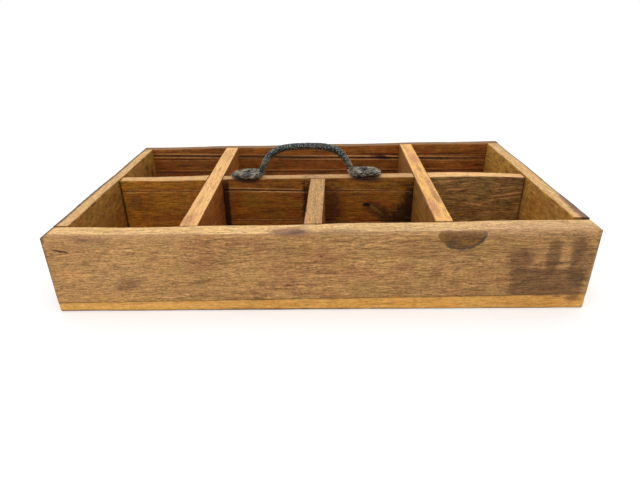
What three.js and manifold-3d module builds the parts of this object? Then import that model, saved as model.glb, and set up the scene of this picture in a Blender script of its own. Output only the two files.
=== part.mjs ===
// Divided wooden tray: a nailed box of reclaimed boards with seven cells and a forged bow handle.
// Millimetres, +Z up. The long front wall faces -Y, and the origin is on the table under the
// middle of the tray.
import * as THREE from 'three';
import { mergeVertices } from 'three/addons/utils/BufferGeometryUtils.js';
import Module from 'manifold-3d';

const wasm = await Module();
wasm.setup();

// Overall plan
const TRAY_LENGTH = 503;
const TRAY_DEPTH = 301;

// Base planks, side by side along the tray and thicker towards the right end
const BASE_THICKNESS_LEFT = 9.7;
const BASE_THICKNESS_RIGHT = 15.4;
const BASE_PLANKS = ['front', 'middle', 'back'];
const BASE_CORNER_RADIUS = 2;
const BASE_ARRIS_WIDTH = 1.5;

// Boards that stand on the base: one height, each its own thickness
const BOARD_HEIGHT = 67;
const FRONT_WALL_THICKNESS = 25;
const BACK_WALL_THICKNESS = 13;
const LEFT_END_THICKNESS = { start: 14.2, end: 13.2 };
const RIGHT_END_THICKNESS = 15.5;
const LEFT_CROSS_THICKNESS = 17.5;
const RIGHT_CROSS_THICKNESS = 17;
const SHORT_DIVIDER_THICKNESS = 17.5;
const LONG_LEFT_THICKNESS = { start: 13.5, end: 18 };
const LONG_MIDDLE_THICKNESS = { start: 13, end: 15.5 };
const LONG_RIGHT_THICKNESS = { start: 18.5, end: 13.5 };

// Where the dividers stand: centre line at the tray's middle, and how far the far end leans over
const LEFT_CROSS_X = -124.5;
const RIGHT_CROSS_X = 118.2;
const RIGHT_CROSS_OFFSET = 4.5;
const SHORT_DIVIDER_X = -2.9;
const SHORT_DIVIDER_OFFSET = 10;
const LONG_LEFT_Y = 12;
const LONG_MIDDLE_Y = 9.4;
const LONG_MIDDLE_OFFSET = -8;
const LONG_RIGHT_Y = 20.9;
const LONG_RIGHT_OFFSET = -46.9;

// Hand-made tops: how far a top edge stands over or under the common height
const CROSS_BACK_EXTRA_HEIGHT = 1.2;
const LEFT_END_EXTRA_HEIGHT = { front: 2.4, back: 0.3 };
const RIGHT_END_FRONT_EXTRA_HEIGHT = 1.5;
const FRONT_LEFT_EXTRA = { height: 1.4, radius: 1.5, share: 0.2 };
const CROWN = { leftDrop: 0.7, topDrop: -0.6, rightDrop: 0.5, at: 0.5 };
const EDGE_WAVE_HEIGHT = 0.3;
const EDGE_WAVE_LENGTH = 140;

// Worn arrises: the right end's outer one is rubbed into a wide low bevel towards the front
const ARRIS_RADIUS = 1.2;
const FRONT_ARRIS_RADIUS = 4.5;
const WORN_BEVEL_WIDTH = 8;
const WORN_SHARE = 0.5;
const CORNER_WEAR_RADIUS = 1.2;

// Beaded faces of old tongue-and-groove boards: level grooves, each this far under the common top
// at the tray's middle
const GROOVE_WIDTH = 2.4;
const GROOVE_DEPTH = 1.1;
const BACK_WALL_GROOVE_DEPTHS = [37, 18, 13];
const MIDDLE_GROOVE_DEPTHS = [55, 16];
const LEFT_GROOVE_DEPTHS = [16];

// Fits
const BUTT_GAP = 0.3;
const OPEN_END_GAP = 1;
const HOLE_CLEARANCE = 0.3;
const HOLE_OPENING_LENGTH = 8;

// Nails: how deep a head lies under the face, how far a nail bites into the second board, how far
// a pair of nails lies over the base and under the board's top, and where the nails through the
// base stand: in the walls, in the end boards in from a plank's inner edge, and in the middle plank
const NAIL = { shankRadius: 0.9, headRadius: 1.25, headThickness: 0.9, pointLength: 3 };
const FLUSH_RECESS_DEPTH = 0.2;
const SUNK_RECESS_DEPTH = 1.5;
const NAIL_BITE_LENGTH = 22;
const NAIL_PLACES = { overBase: 16, underTop: 18 };
const FRONT_LEFT_NAIL_PLACES = { overBase: 16, underTop: 15 };
const FRONT_RIGHT_NAIL_PLACES = { overBase: 24, underTop: 33 };
const LONG_DIVIDER_NAIL_PLACES = { overBase: 21, underTop: 26 };
const BASE_NAIL_RECESS_DEPTH = 0.6;
const BASE_WALL_NAIL_X = 165;
const BASE_END_NAIL_OFFSET = 30;
const MIDDLE_PLANK_NAIL_Y = -20;

// Handle: one forging, with its centre line heights measured over the divider's top
const HANDLE_LENGTH = 175;
const HANDLE_X = -16.5;
const HANDLE_Y = 10.5;
const HANDLE_HEIGHT = 36;
const BAR_WIDTH = 8.4;
const BAR_THICKNESS = 8.3;
const LEG_THICKNESS = 8;
const FOOT_LENGTH = 35.2;
const FOOT_WIDTH = 27;
const FOOT_THICKNESS = 8;
const FOOT_DISH_DEPTH = 1.4;
const FOOT_SQUARENESS = 0.62;
const TIP_WIDTH = 11;
const TIP_THICKNESS = 5;
const SCREW_OFFSET = 18.8;
const SCREW = {
  shankRadius: 1.9,
  headRadius: 3.5,
  headThickness: 1.7,
  pointLength: 4,
  length: 30,
};

// Leaf of a foot from its tip to its heel: shares of its length, width, thickness and dish
const FOOT_LEAF = [
  [0.11, 0.68, 0.85, 0.4],
  [0.27, 0.86, 1, 1],
  [0.55, 0.97, 1, 0],
  [0.76, 1, 1, 0.5],
  [0.91, 0.8, 1, 0],
];
const HEEL_HEIGHT = 1.4;
const LEG_ROOT_HEIGHT = 7;

// Bow above its legs: shares of the half span and of the rise, and how much thicker than the crown
const BOW_SHAPE = [
  [0.9, 0.49, 1.03],
  [0.778, 0.73, 1.08],
  [0.59, 0.9, 1.08],
  [0.36, 0.975, 1.02],
];

// Counts
const ARRIS_STEPS = 3;
const BOARD_STATIONS = 8;
const BAR_SIDES = 12;
const RINGS_PER_STRETCH = 2;
const NAIL_SIDES = 6;
const SCREW_SIDES = 12;

// Corners closer than this are one corner
const SAME_POINT_TOLERANCE = 1e-3;

// Finishes
const WALL_WOOD = { color: 0xa37a4a, roughness: 0.75, metalness: 0 };
const BASE_WOOD = { color: 0xba894d, roughness: 0.75, metalness: 0 };
const DARK_WOOD = { color: 0x6b3f1c, roughness: 0.75, metalness: 0 };
const DIVIDER_WOOD = { color: 0xb98a56, roughness: 0.75, metalness: 0 };
const GREY_WOOD = { color: 0x7d6442, roughness: 0.8, metalness: 0 };
const FORGED_IRON = { color: 0x4b4b46, roughness: 0.55, metalness: 0.8 };
const NAIL_IRON = { color: 0x3c3a36, roughness: 0.5, metalness: 0.8 };

// Thickness of the base, and so the height of its top, at a place along the tray
function baseTop(x) {
  const share = x / TRAY_LENGTH + 0.5;
  return THREE.MathUtils.lerp(BASE_THICKNESS_LEFT, BASE_THICKNESS_RIGHT, share);
}

// Height over the table of the common top of the boards
function boardTop(x) {
  return baseTop(x) + BUTT_GAP + BOARD_HEIGHT;
}

// Slow unevenness of a hand-worn top edge
function edgeWave(t, phase) {
  return EDGE_WAVE_HEIGHT * Math.sin((2 * Math.PI * t) / EDGE_WAVE_LENGTH + phase);
}

// How far a rounded arris draws a face in, at a distance from the edge. It is as deep as its radius,
// and as wide unless a width is given.
function arrisInset(radius, distance, width = radius) {
  if (distance >= radius) {
    return 0;
  }
  return (width / radius) * (radius - Math.sqrt(radius * radius - (radius - distance) ** 2));
}

// Six times the volume inside a triangle list, negative where the faces point in
function signedVolume(positions, triangles) {
  const [a, b, c] = [new THREE.Vector3(), new THREE.Vector3(), new THREE.Vector3()];
  let total = 0;
  for (let i = 0; i < triangles.length; i += 3) {
    a.fromArray(positions, 3 * triangles[i]);
    b.fromArray(positions, 3 * triangles[i + 1]);
    c.fromArray(positions, 3 * triangles[i + 2]);
    total += a.dot(b.cross(c));
  }
  return total;
}

// Closed body through rings of points. Each ring climbs one side and comes down the other, so the
// two end rings are filled by a ladder between the sides.
function loft(rings) {
  const count = rings[0].length;
  const positions = rings.flat().flatMap((point) => point.toArray());
  const triangles = [];
  const quad = (a, b, c, d) => triangles.push(a, b, c, a, c, d);
  for (let ring = 0; ring + 1 < rings.length; ring++) {
    for (let j = 0; j < count; j++) {
      const next = (j + 1) % count;
      const here = ring * count;
      const there = here + count;
      quad(here + j, there + j, there + next, here + next);
    }
  }
  const last = (rings.length - 1) * count;
  for (let rung = 0; rung + 1 < count / 2; rung++) {
    const across = count - 1 - rung;
    quad(rung, rung + 1, across - 1, across);
    quad(last + across, last + across - 1, last + rung + 1, last + rung);
  }
  if (signedVolume(positions, triangles) < 0) {
    triangles.reverse();
  }
  const geometry = new THREE.BufferGeometry();
  geometry.setAttribute('position', new THREE.Float32BufferAttribute(positions, 3));
  geometry.setIndex(triangles);
  return geometry;
}

// Places along a board, close together where its end corners are worn and even in between
function stationsAlong(start, end, endWear) {
  const near = endWear > 0 ? [0, endWear * (1 - Math.SQRT1_2)] : [];
  const inner = [];
  const length = end - start;
  for (let i = 0; i <= BOARD_STATIONS; i++) {
    inner.push(endWear + ((length - 2 * endWear) * i) / BOARD_STATIONS);
  }
  const all = [...near, ...inner, ...near.map((distance) => length - distance).reverse()];
  return all.map((distance) => distance / length);
}

// Heights at which a board's section is drawn, with the depth of a groove there: its foot, the lips
// and bottom of each groove, and the steps of both top arrises
function sectionSteps(top, nearArris, farArris, grooves) {
  const steps = [{ height: 0, depth: 0 }];
  for (const level of grooves) {
    steps.push({ height: level - GROOVE_WIDTH / 2, depth: 0 });
    steps.push({ height: level, depth: GROOVE_DEPTH });
    steps.push({ height: level + GROOVE_WIDTH / 2, depth: 0 });
  }
  const large = Math.max(nearArris, farArris);
  const small = Math.min(nearArris, farArris);
  for (let step = 0; large > small && step < ARRIS_STEPS; step++) {
    steps.push({ height: top - large + ((large - small) * step) / ARRIS_STEPS, depth: 0 });
  }
  for (let step = 0; step <= ARRIS_STEPS; step++) {
    const turn = (Math.PI / 2) * (step / ARRIS_STEPS);
    steps.push({ height: top - small * (1 - Math.sin(turn)), depth: 0 });
  }
  return steps;
}

// A straight board standing on the base. It runs along X or Y, its two faces lie either side of a
// centre line, and each end follows the face that it butts against.
class Board {
  constructor(options) {
    const defaults = {
      alongX: true,
      lean: 0,
      rise: () => 0,
      nearArris: () => ARRIS_RADIUS,
      farArris: () => ARRIS_RADIUS,
      farBevel: () => ARRIS_RADIUS,
      grooveDrops: [],
      nearWear: 0,
      farWear: 0,
    };
    Object.assign(this, defaults, options);
    const { thickness } = this;
    this.thickness = typeof thickness === 'number' ? { start: thickness, end: thickness } : thickness;
    const lowest = BUTT_GAP + GROOVE_WIDTH + Math.max(BASE_THICKNESS_LEFT, BASE_THICKNESS_RIGHT);
    const highest = boardTop(-TRAY_LENGTH / 2) - ARRIS_RADIUS - GROOVE_WIDTH;
    this.grooveLevels = this.grooveDrops
      .map((drop) => boardTop(0) - drop)
      .filter((level) => level > lowest && level < highest);
    this.tools = [];
  }

  // Offset of the centre line at a place along the board: a lean turns it about the tray's middle
  middle(t) {
    const reach = this.alongX ? TRAY_LENGTH : TRAY_DEPTH;
    return this.centre + (this.lean * t) / reach;
  }

  // Half the thickness at a share of the board's length
  half(share) {
    return THREE.MathUtils.lerp(this.thickness.start, this.thickness.end, share) / 2;
  }

  // Face on the low or high side of the board, at a place along it
  face(side, t) {
    const span = this.span(this.middle(t));
    const share = THREE.MathUtils.clamp((t - span.start) / (span.end - span.start), 0, 1);
    return this.middle(t) + side * this.half(share);
  }

  // Start and end of the board along its run, on a line at the given offset across it
  span(across) {
    return { start: this.start(across), end: this.end(across) };
  }

  // Point on a face at a share of the length and a height over the base, drawn in by an inset
  point(share, side, height, inset) {
    const rough = this.middle(0) + side * this.half(share);
    const span = this.span(rough);
    const t = THREE.MathUtils.lerp(span.start, span.end, share);
    const across = this.middle(t) + side * (this.half(share) - inset);
    const x = this.alongX ? t : across;
    const y = this.alongX ? across : t;
    return new THREE.Vector3(x, y, baseTop(x) + BUTT_GAP + height);
  }

  // Section of the board at a share of its length
  ring(share, length) {
    const t = THREE.MathUtils.lerp(this.start(this.centre), this.end(this.centre), share);
    const x = this.alongX ? t : this.centre;
    const top = BOARD_HEIGHT + this.rise(share, t);
    const nearArris = this.nearArris(share);
    const farArris = this.farArris(share);
    const farBevel = this.farBevel(share);
    const grooves = this.grooveLevels.map((level) => level - baseTop(x) - BUTT_GAP);
    const fromEnd = Math.min(share, 1 - share) * length;
    const near = [];
    const far = [];
    for (const { height, depth } of sectionSteps(top, nearArris, farArris, grooves)) {
      const nearInset = arrisInset(nearArris, top - height) + arrisInset(this.nearWear, fromEnd);
      const farRound = arrisInset(farArris, top - height, farBevel);
      const farInset = farRound + arrisInset(this.farWear, fromEnd);
      near.push(this.point(share, -1, height, nearInset + depth));
      far.push(this.point(share, 1, height, farInset));
    }
    return [...near, ...far.reverse()];
  }

  geometry() {
    const { start, end } = this.span(this.centre);
    const shares = stationsAlong(start, end, Math.max(this.nearWear, this.farWear));
    return loft(shares.map((share) => this.ring(share, end - start)));
  }
}

const insideFront = () => -TRAY_DEPTH / 2 + FRONT_WALL_THICKNESS + BUTT_GAP;
const insideBack = () => TRAY_DEPTH / 2 - BACK_WALL_THICKNESS - BUTT_GAP;

// The front wall stands higher at its left end and is worn rounder there: 1 at the end, 0 past it
const leftShare = (share) => 1 - THREE.MathUtils.smoothstep(share, 0, FRONT_LEFT_EXTRA.share);

const frontWall = new Board({
  name: 'front_wall',
  finish: WALL_WOOD,
  centre: -TRAY_DEPTH / 2 + FRONT_WALL_THICKNESS / 2,
  thickness: FRONT_WALL_THICKNESS,
  start: () => -TRAY_LENGTH / 2,
  end: () => TRAY_LENGTH / 2,
  rise: (share, t) => edgeWave(t, 0) + FRONT_LEFT_EXTRA.height * leftShare(share),
  nearArris: (share) => FRONT_ARRIS_RADIUS + FRONT_LEFT_EXTRA.radius * leftShare(share),
  nearWear: CORNER_WEAR_RADIUS,
});

const backWall = new Board({
  name: 'back_wall',
  finish: DARK_WOOD,
  centre: TRAY_DEPTH / 2 - BACK_WALL_THICKNESS / 2,
  thickness: BACK_WALL_THICKNESS,
  start: () => -TRAY_LENGTH / 2,
  end: () => TRAY_LENGTH / 2,
  rise: (share, t) => edgeWave(t, Math.PI / 2),
  grooveDrops: BACK_WALL_GROOVE_DEPTHS,
  farWear: CORNER_WEAR_RADIUS,
});

// The left end thins towards the back, and its outer face stays square to the front wall
const endTaper = (LEFT_END_THICKNESS.end - LEFT_END_THICKNESS.start) / 2;
const endTaperSlope = endTaper / (insideBack() - insideFront());
const leftEnd = new Board({
  name: 'left_end',
  finish: WALL_WOOD,
  alongX: false,
  centre: -TRAY_LENGTH / 2 + LEFT_END_THICKNESS.start / 2 - insideFront() * endTaperSlope,
  lean: endTaperSlope * TRAY_DEPTH,
  thickness: LEFT_END_THICKNESS,
  start: insideFront,
  end: insideBack,
  rise: (share, t) =>
    edgeWave(t, Math.PI) +
    THREE.MathUtils.lerp(LEFT_END_EXTRA_HEIGHT.front, LEFT_END_EXTRA_HEIGHT.back, share),
});

// The outer arris of the right end is worn away more and more towards the front
const rightEnd = new Board({
  name: 'right_end',
  finish: WALL_WOOD,
  alongX: false,
  centre: TRAY_LENGTH / 2 - RIGHT_END_THICKNESS / 2,
  thickness: RIGHT_END_THICKNESS,
  start: insideFront,
  end: insideBack,
  rise: (share, t) => edgeWave(t, 0) + RIGHT_END_FRONT_EXTRA_HEIGHT * (1 - share),
  farBevel: (share) => {
    const sound = Math.min(1, share / WORN_SHARE);
    return THREE.MathUtils.lerp(WORN_BEVEL_WIDTH, ARRIS_RADIUS, sound);
  },
});

const leftCross = new Board({
  name: 'left_cross_divider',
  finish: DIVIDER_WOOD,
  alongX: false,
  centre: LEFT_CROSS_X,
  thickness: LEFT_CROSS_THICKNESS,
  start: insideFront,
  end: insideBack,
  rise: (share) => CROSS_BACK_EXTRA_HEIGHT * share,
});

const rightCross = new Board({
  name: 'right_cross_divider',
  finish: DIVIDER_WOOD,
  alongX: false,
  centre: RIGHT_CROSS_X,
  lean: RIGHT_CROSS_OFFSET,
  thickness: RIGHT_CROSS_THICKNESS,
  start: insideFront,
  end: insideBack,
  rise: (share) => CROSS_BACK_EXTRA_HEIGHT * share,
});

const longLeft = new Board({
  name: 'long_divider_left',
  finish: DARK_WOOD,
  centre: LONG_LEFT_Y,
  thickness: LONG_LEFT_THICKNESS,
  start: (y) => leftEnd.face(1, y) + OPEN_END_GAP,
  end: (y) => leftCross.face(-1, y) - BUTT_GAP,
  rise: (share, t) => edgeWave(t, 0),
  grooveDrops: LEFT_GROOVE_DEPTHS,
});

const longMiddle = new Board({
  name: 'long_divider_middle',
  finish: DARK_WOOD,
  centre: LONG_MIDDLE_Y,
  lean: LONG_MIDDLE_OFFSET,
  thickness: LONG_MIDDLE_THICKNESS,
  start: (y) => leftCross.face(1, y) + BUTT_GAP,
  end: (y) => rightCross.face(-1, y) - BUTT_GAP,
  grooveDrops: MIDDLE_GROOVE_DEPTHS,
});

// Drop of the crowned top below the common height, less than nothing at the crown and growing to
// each end
function crownDrop(share) {
  const end = share < CROWN.at ? CROWN.leftDrop : CROWN.rightDrop;
  const reach = share < CROWN.at ? CROWN.at : 1 - CROWN.at;
  return CROWN.topDrop + (end - CROWN.topDrop) * ((share - CROWN.at) / reach) ** 2;
}

const longRight = new Board({
  name: 'long_divider_right',
  finish: GREY_WOOD,
  centre: LONG_RIGHT_Y,
  lean: LONG_RIGHT_OFFSET,
  thickness: LONG_RIGHT_THICKNESS,
  start: (y) => rightCross.face(1, y) + BUTT_GAP,
  end: (y) => rightEnd.face(-1, y) - OPEN_END_GAP,
  rise: (share) => -crownDrop(share),
});

const shortDivider = new Board({
  name: 'short_divider',
  finish: DIVIDER_WOOD,
  alongX: false,
  centre: SHORT_DIVIDER_X,
  lean: SHORT_DIVIDER_OFFSET,
  thickness: SHORT_DIVIDER_THICKNESS,
  start: insideFront,
  end: (x) => longMiddle.face(-1, x) - BUTT_GAP,
});

const boards = [
  frontWall, backWall, leftEnd, rightEnd, leftCross, rightCross,
  longLeft, longMiddle, longRight, shortDivider,
];

// One lengthwise plank of the base, its outer corners rounded in plan
class BasePlank {
  constructor(place, index) {
    const width = TRAY_DEPTH / BASE_PLANKS.length;
    this.name = `base_plank_${place}`;
    this.finish = BASE_WOOD;
    this.first = index === 0;
    this.last = index === BASE_PLANKS.length - 1;
    this.near = -TRAY_DEPTH / 2 + index * width + (this.first ? 0 : BUTT_GAP / 2);
    this.far = -TRAY_DEPTH / 2 + (index + 1) * width - (this.last ? 0 : BUTT_GAP / 2);
    this.tools = [];
  }

  ring(share) {
    const x = TRAY_LENGTH * (share - 0.5);
    const fromEnd = Math.min(share, 1 - share) * TRAY_LENGTH;
    const inset = arrisInset(BASE_CORNER_RADIUS, fromEnd);
    const near = this.near + (this.first ? inset : 0);
    const far = this.far - (this.last ? inset : 0);
    const top = baseTop(x);
    return [
      new THREE.Vector3(x, near + (this.first ? BASE_ARRIS_WIDTH : 0), 0),
      new THREE.Vector3(x, near, BASE_ARRIS_WIDTH),
      new THREE.Vector3(x, near, top),
      new THREE.Vector3(x, far, top),
      new THREE.Vector3(x, far, BASE_ARRIS_WIDTH),
      new THREE.Vector3(x, far - (this.last ? BASE_ARRIS_WIDTH : 0), 0),
    ];
  }

  geometry() {
    const shares = stationsAlong(0, TRAY_LENGTH, BASE_CORNER_RADIUS);
    return loft(shares.map((share) => this.ring(share)));
  }
}

const planks = BASE_PLANKS.map((place, index) => new BasePlank(place, index));
const [frontPlank, middlePlank, backPlank] = planks;

// Half of the handle's bar from a foot's tip to the shoulder of the bow: distance from the centre,
// height of its centre line, width across the divider, thickness, and dish of its upper face
const tip = HANDLE_LENGTH / 2;
const bowHalfSpan = tip - FOOT_LENGTH;
const seat = FOOT_THICKNESS / 2;
const footStations = FOOT_LEAF.map(([back, width, thickness, dish]) => ({
  out: tip - back * FOOT_LENGTH,
  up: (thickness * FOOT_THICKNESS) / 2,
  width: width * FOOT_WIDTH,
  thickness: thickness * FOOT_THICKNESS,
  dish: dish * FOOT_DISH_DEPTH,
}));
const legStation = (out, up, thickness) => ({ out, up, width: BAR_WIDTH, thickness, dish: 0 });
const HALF_BAR = [
  { out: tip, up: TIP_THICKNESS / 2, width: TIP_WIDTH, thickness: TIP_THICKNESS, dish: 0 },
  ...footStations,
  legStation(bowHalfSpan, seat + HEEL_HEIGHT, LEG_THICKNESS),
  legStation(bowHalfSpan - HEEL_HEIGHT, seat + LEG_ROOT_HEIGHT, LEG_THICKNESS),
  ...BOW_SHAPE.map(([out, up, fullness]) => {
    return legStation(out * bowHalfSpan, up * HANDLE_HEIGHT, fullness * BAR_THICKNESS);
  }),
];
const CROWN_OF_BOW = legStation(0, HANDLE_HEIGHT, BAR_THICKNESS);

// Point on the handle's centre line, which follows the slope of the divider's top
function barPoint(station, side) {
  const x = HANDLE_X + side * station.out;
  return new THREE.Vector3(x, HANDLE_Y, boardTop(x) + BUTT_GAP + station.up);
}

// Section of the bar across its run, round in the bow and squarer in the flattened feet, with the
// dish in its upper face
function barRing(centre, tangent, size) {
  const [width, thickness, dish] = size.toArray();
  const up = new THREE.Vector3(-tangent.z, 0, tangent.x).normalize();
  const flatness = THREE.MathUtils.smoothstep(width, BAR_WIDTH, FOOT_WIDTH);
  const power = THREE.MathUtils.lerp(1, FOOT_SQUARENESS, flatness);
  const square = (value) => Math.sign(value) * Math.abs(value) ** power;
  const ring = [];
  for (let i = 0; i < BAR_SIDES; i++) {
    const angle = -Math.PI / 2 - ((i + 0.5) * 2 * Math.PI) / BAR_SIDES;
    const across = (width / 2) * square(Math.cos(angle));
    const onTop = i === BAR_SIDES / 2 - 1 || i === BAR_SIDES / 2;
    const lift = (thickness / 2) * square(Math.sin(angle)) - (onTop ? dish : 0);
    ring.push(centre.clone().addScaledVector(up, lift).add(new THREE.Vector3(0, across, 0)));
  }
  return ring;
}

const handle = {
  name: 'handle',
  finish: FORGED_IRON,
  tools: [],
  geometry() {
    const left = HALF_BAR.map((station) => ({ station, side: -1 }));
    const right = HALF_BAR.map((station) => ({ station, side: 1 })).reverse();
    const all = [...left, { station: CROWN_OF_BOW, side: 1 }, ...right];
    const path = new THREE.CatmullRomCurve3(all.map(({ station, side }) => barPoint(station, side)));
    const sizes = new THREE.CatmullRomCurve3(
      all.map(({ station }) => new THREE.Vector3(station.width, station.thickness, station.dish)),
      false,
      'catmullrom',
      0.5,
    );
    const stretches = (all.length - 1) * RINGS_PER_STRETCH;
    const rings = [];
    for (let i = 0; i <= stretches; i++) {
      const u = i / stretches;
      rings.push(barRing(path.getPoint(u), path.getTangent(u), sizes.getPoint(u)));
    }
    return loft(rings);
  },
};

// Round fastener from the outer face of its head to its point, or the hole that clears it, which
// stays open over the head
function fastenerGeometry(kind, length, clearance, sides) {
  const outside = clearance > 0 ? -HOLE_OPENING_LENGTH : 0;
  const profile = [
    [0, outside],
    [kind.headRadius + clearance, outside],
    [kind.headRadius + clearance, kind.headThickness + clearance],
    [kind.shankRadius + clearance, kind.headThickness + clearance],
    [kind.shankRadius + clearance, length - kind.pointLength + 2 * clearance],
    [0, length + 2 * clearance],
  ];
  return new THREE.LatheGeometry(profile.map(([r, y]) => new THREE.Vector2(r, y)), sides);
}

const TOWARDS = {
  back: new THREE.Vector3(0, 1, 0),
  front: new THREE.Vector3(0, -1, 0),
  right: new THREE.Vector3(1, 0, 0),
  left: new THREE.Vector3(-1, 0, 0),
  up: new THREE.Vector3(0, 0, 1),
  down: new THREE.Vector3(0, 0, -1),
};

// A nail or screw driven from a point along a direction, and the pieces that it passes through
class Fastener {
  constructor(options) {
    Object.assign(this, { kind: NAIL, sides: NAIL_SIDES, finish: NAIL_IRON }, options);
    this.turn = new THREE.Quaternion().setFromUnitVectors(TOWARDS.back, this.along);
    for (const piece of this.holds) {
      const hole = fastenerGeometry(this.kind, this.length, HOLE_CLEARANCE, this.sides);
      piece.tools.push(this.placed(hole));
    }
  }

  placed(geometry) {
    return geometry.applyQuaternion(this.turn).translate(this.from.x, this.from.y, this.from.z);
  }

  geometry() {
    return this.placed(fastenerGeometry(this.kind, this.length, 0, this.sides));
  }
}

const fasteners = [];

// Two nails, one over the other, from a point on a face through a thickness into the next board
function nailPair({ name, x, y, along, thickness, places, recess, holds }) {
  const levels = {
    low: baseTop(x) + places.overBase,
    high: boardTop(x) - places.underTop,
  };
  const length = thickness + NAIL_BITE_LENGTH;
  for (const [place, level] of Object.entries(levels)) {
    const from = new THREE.Vector3(x, y, level).addScaledVector(along, recess);
    fasteners.push(new Fastener({ name: `nail_${name}_${place}`, from, along, length, holds }));
  }
}

const frontFace = -TRAY_DEPTH / 2;
const backFace = TRAY_DEPTH / 2;
const acrossBoards = [
  { key: 'left_end', board: leftEnd, places: FRONT_LEFT_NAIL_PLACES, recess: FLUSH_RECESS_DEPTH },
  { key: 'left_cross', board: leftCross, places: NAIL_PLACES, recess: SUNK_RECESS_DEPTH },
  { key: 'right_cross', board: rightCross, places: NAIL_PLACES, recess: SUNK_RECESS_DEPTH },
  { key: 'right_end', board: rightEnd, places: FRONT_RIGHT_NAIL_PLACES, recess: FLUSH_RECESS_DEPTH },
];
for (const { key, board, places, recess } of acrossBoards) {
  nailPair({
    name: `front_${key}`,
    x: board.middle(insideFront()),
    y: frontFace,
    along: TOWARDS.back,
    thickness: FRONT_WALL_THICKNESS,
    places,
    recess,
    holds: [frontWall, board],
  });
  nailPair({
    name: `back_${key}`,
    x: board.middle(insideBack()),
    y: backFace,
    along: TOWARDS.front,
    thickness: BACK_WALL_THICKNESS,
    places: NAIL_PLACES,
    recess: FLUSH_RECESS_DEPTH,
    holds: [backWall, board],
  });
}
nailPair({
  name: 'front_short_divider',
  x: shortDivider.middle(insideFront()),
  y: frontFace,
  along: TOWARDS.back,
  thickness: FRONT_WALL_THICKNESS,
  places: NAIL_PLACES,
  recess: SUNK_RECESS_DEPTH,
  holds: [frontWall, shortDivider],
});

const shortDividerEnd = shortDivider.middle(LONG_MIDDLE_Y);
nailPair({
  name: 'back_short_divider',
  x: shortDividerEnd,
  y: longMiddle.face(1, shortDividerEnd),
  along: TOWARDS.front,
  thickness: LONG_MIDDLE_THICKNESS.end,
  places: LONG_DIVIDER_NAIL_PLACES,
  recess: FLUSH_RECESS_DEPTH,
  holds: [longMiddle, shortDivider],
});

const longDividerNails = [
  { key: 'long_left', through: leftEnd, into: longLeft, side: -1, along: TOWARDS.right },
  { key: 'long_middle_left', through: leftCross, into: longMiddle, side: -1, along: TOWARDS.right },
  { key: 'long_middle_right', through: rightCross, into: longMiddle, side: 1, along: TOWARDS.left },
  { key: 'long_right', through: rightEnd, into: longRight, side: 1, along: TOWARDS.left },
];
for (const { key, through, into, side, along } of longDividerNails) {
  const y = into.middle(through.centre);
  nailPair({
    name: key,
    x: through.face(side, y),
    y,
    along,
    thickness: through.thickness.start,
    places: LONG_DIVIDER_NAIL_PLACES,
    recess: FLUSH_RECESS_DEPTH,
    holds: [through, into],
  });
}

// Nails driven up through the base, heads sunk clear of the table
function baseNail(name, x, y, plank, board) {
  fasteners.push(new Fastener({
    name: `nail_base_${name}`,
    from: new THREE.Vector3(x, y, BASE_NAIL_RECESS_DEPTH),
    along: TOWARDS.up,
    length: baseTop(x) - BASE_NAIL_RECESS_DEPTH + NAIL_BITE_LENGTH,
    holds: [plank, board],
  }));
}

const outerPlanks = [
  { side: 'front', plank: frontPlank, wall: frontWall, y: frontPlank.far - BASE_END_NAIL_OFFSET },
  { side: 'back', plank: backPlank, wall: backWall, y: backPlank.near + BASE_END_NAIL_OFFSET },
];
for (const { side, plank, wall, y } of outerPlanks) {
  baseNail(`${side}_wall_left`, -BASE_WALL_NAIL_X, wall.centre, plank, wall);
  baseNail(`${side}_wall_right`, BASE_WALL_NAIL_X, wall.centre, plank, wall);
  baseNail(`${side}_left_end`, leftEnd.centre, y, plank, leftEnd);
  baseNail(`${side}_right_end`, rightEnd.centre, y, plank, rightEnd);
}
for (const { key, board } of acrossBoards) {
  const x = board.middle(MIDDLE_PLANK_NAIL_Y);
  baseNail(`middle_${key}`, x, MIDDLE_PLANK_NAIL_Y, middlePlank, board);
}

// One screw through the middle of each foot of the handle into the divider
for (const [side, sign] of [['left', -1], ['right', 1]]) {
  const x = HANDLE_X + sign * (tip - SCREW_OFFSET);
  const underHead = boardTop(x) + 2 * BUTT_GAP + FOOT_THICKNESS;
  fasteners.push(new Fastener({
    name: `handle_screw_${side}`,
    from: new THREE.Vector3(x, HANDLE_Y, underHead + SCREW.headThickness),
    along: TOWARDS.down,
    length: SCREW.length,
    kind: SCREW,
    sides: SCREW_SIDES,
    holds: [handle, longMiddle],
    finish: FORGED_IRON,
  }));
}

// Geometry with shared corners, and without the slivers that a lathe leaves on its axis
function welded(geometry) {
  const bare = geometry.clone();
  bare.deleteAttribute('normal');
  bare.deleteAttribute('uv');
  const merged = mergeVertices(bare, SAME_POINT_TOLERANCE);
  const kept = [];
  const index = merged.index.array;
  for (let i = 0; i < index.length; i += 3) {
    const [a, b, c] = index.slice(i, i + 3);
    if (a !== b && b !== c && c !== a) {
      kept.push(a, b, c);
    }
  }
  if (signedVolume(merged.attributes.position.array, kept) < 0) {
    kept.reverse();
  }
  merged.setIndex(kept);
  return merged;
}

function toSolid(geometry) {
  const body = welded(geometry);
  return new wasm.Manifold(new wasm.Mesh({
    numProp: 3,
    vertProperties: new Float32Array(body.attributes.position.array),
    triVerts: new Uint32Array(body.index.array),
  }));
}

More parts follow.
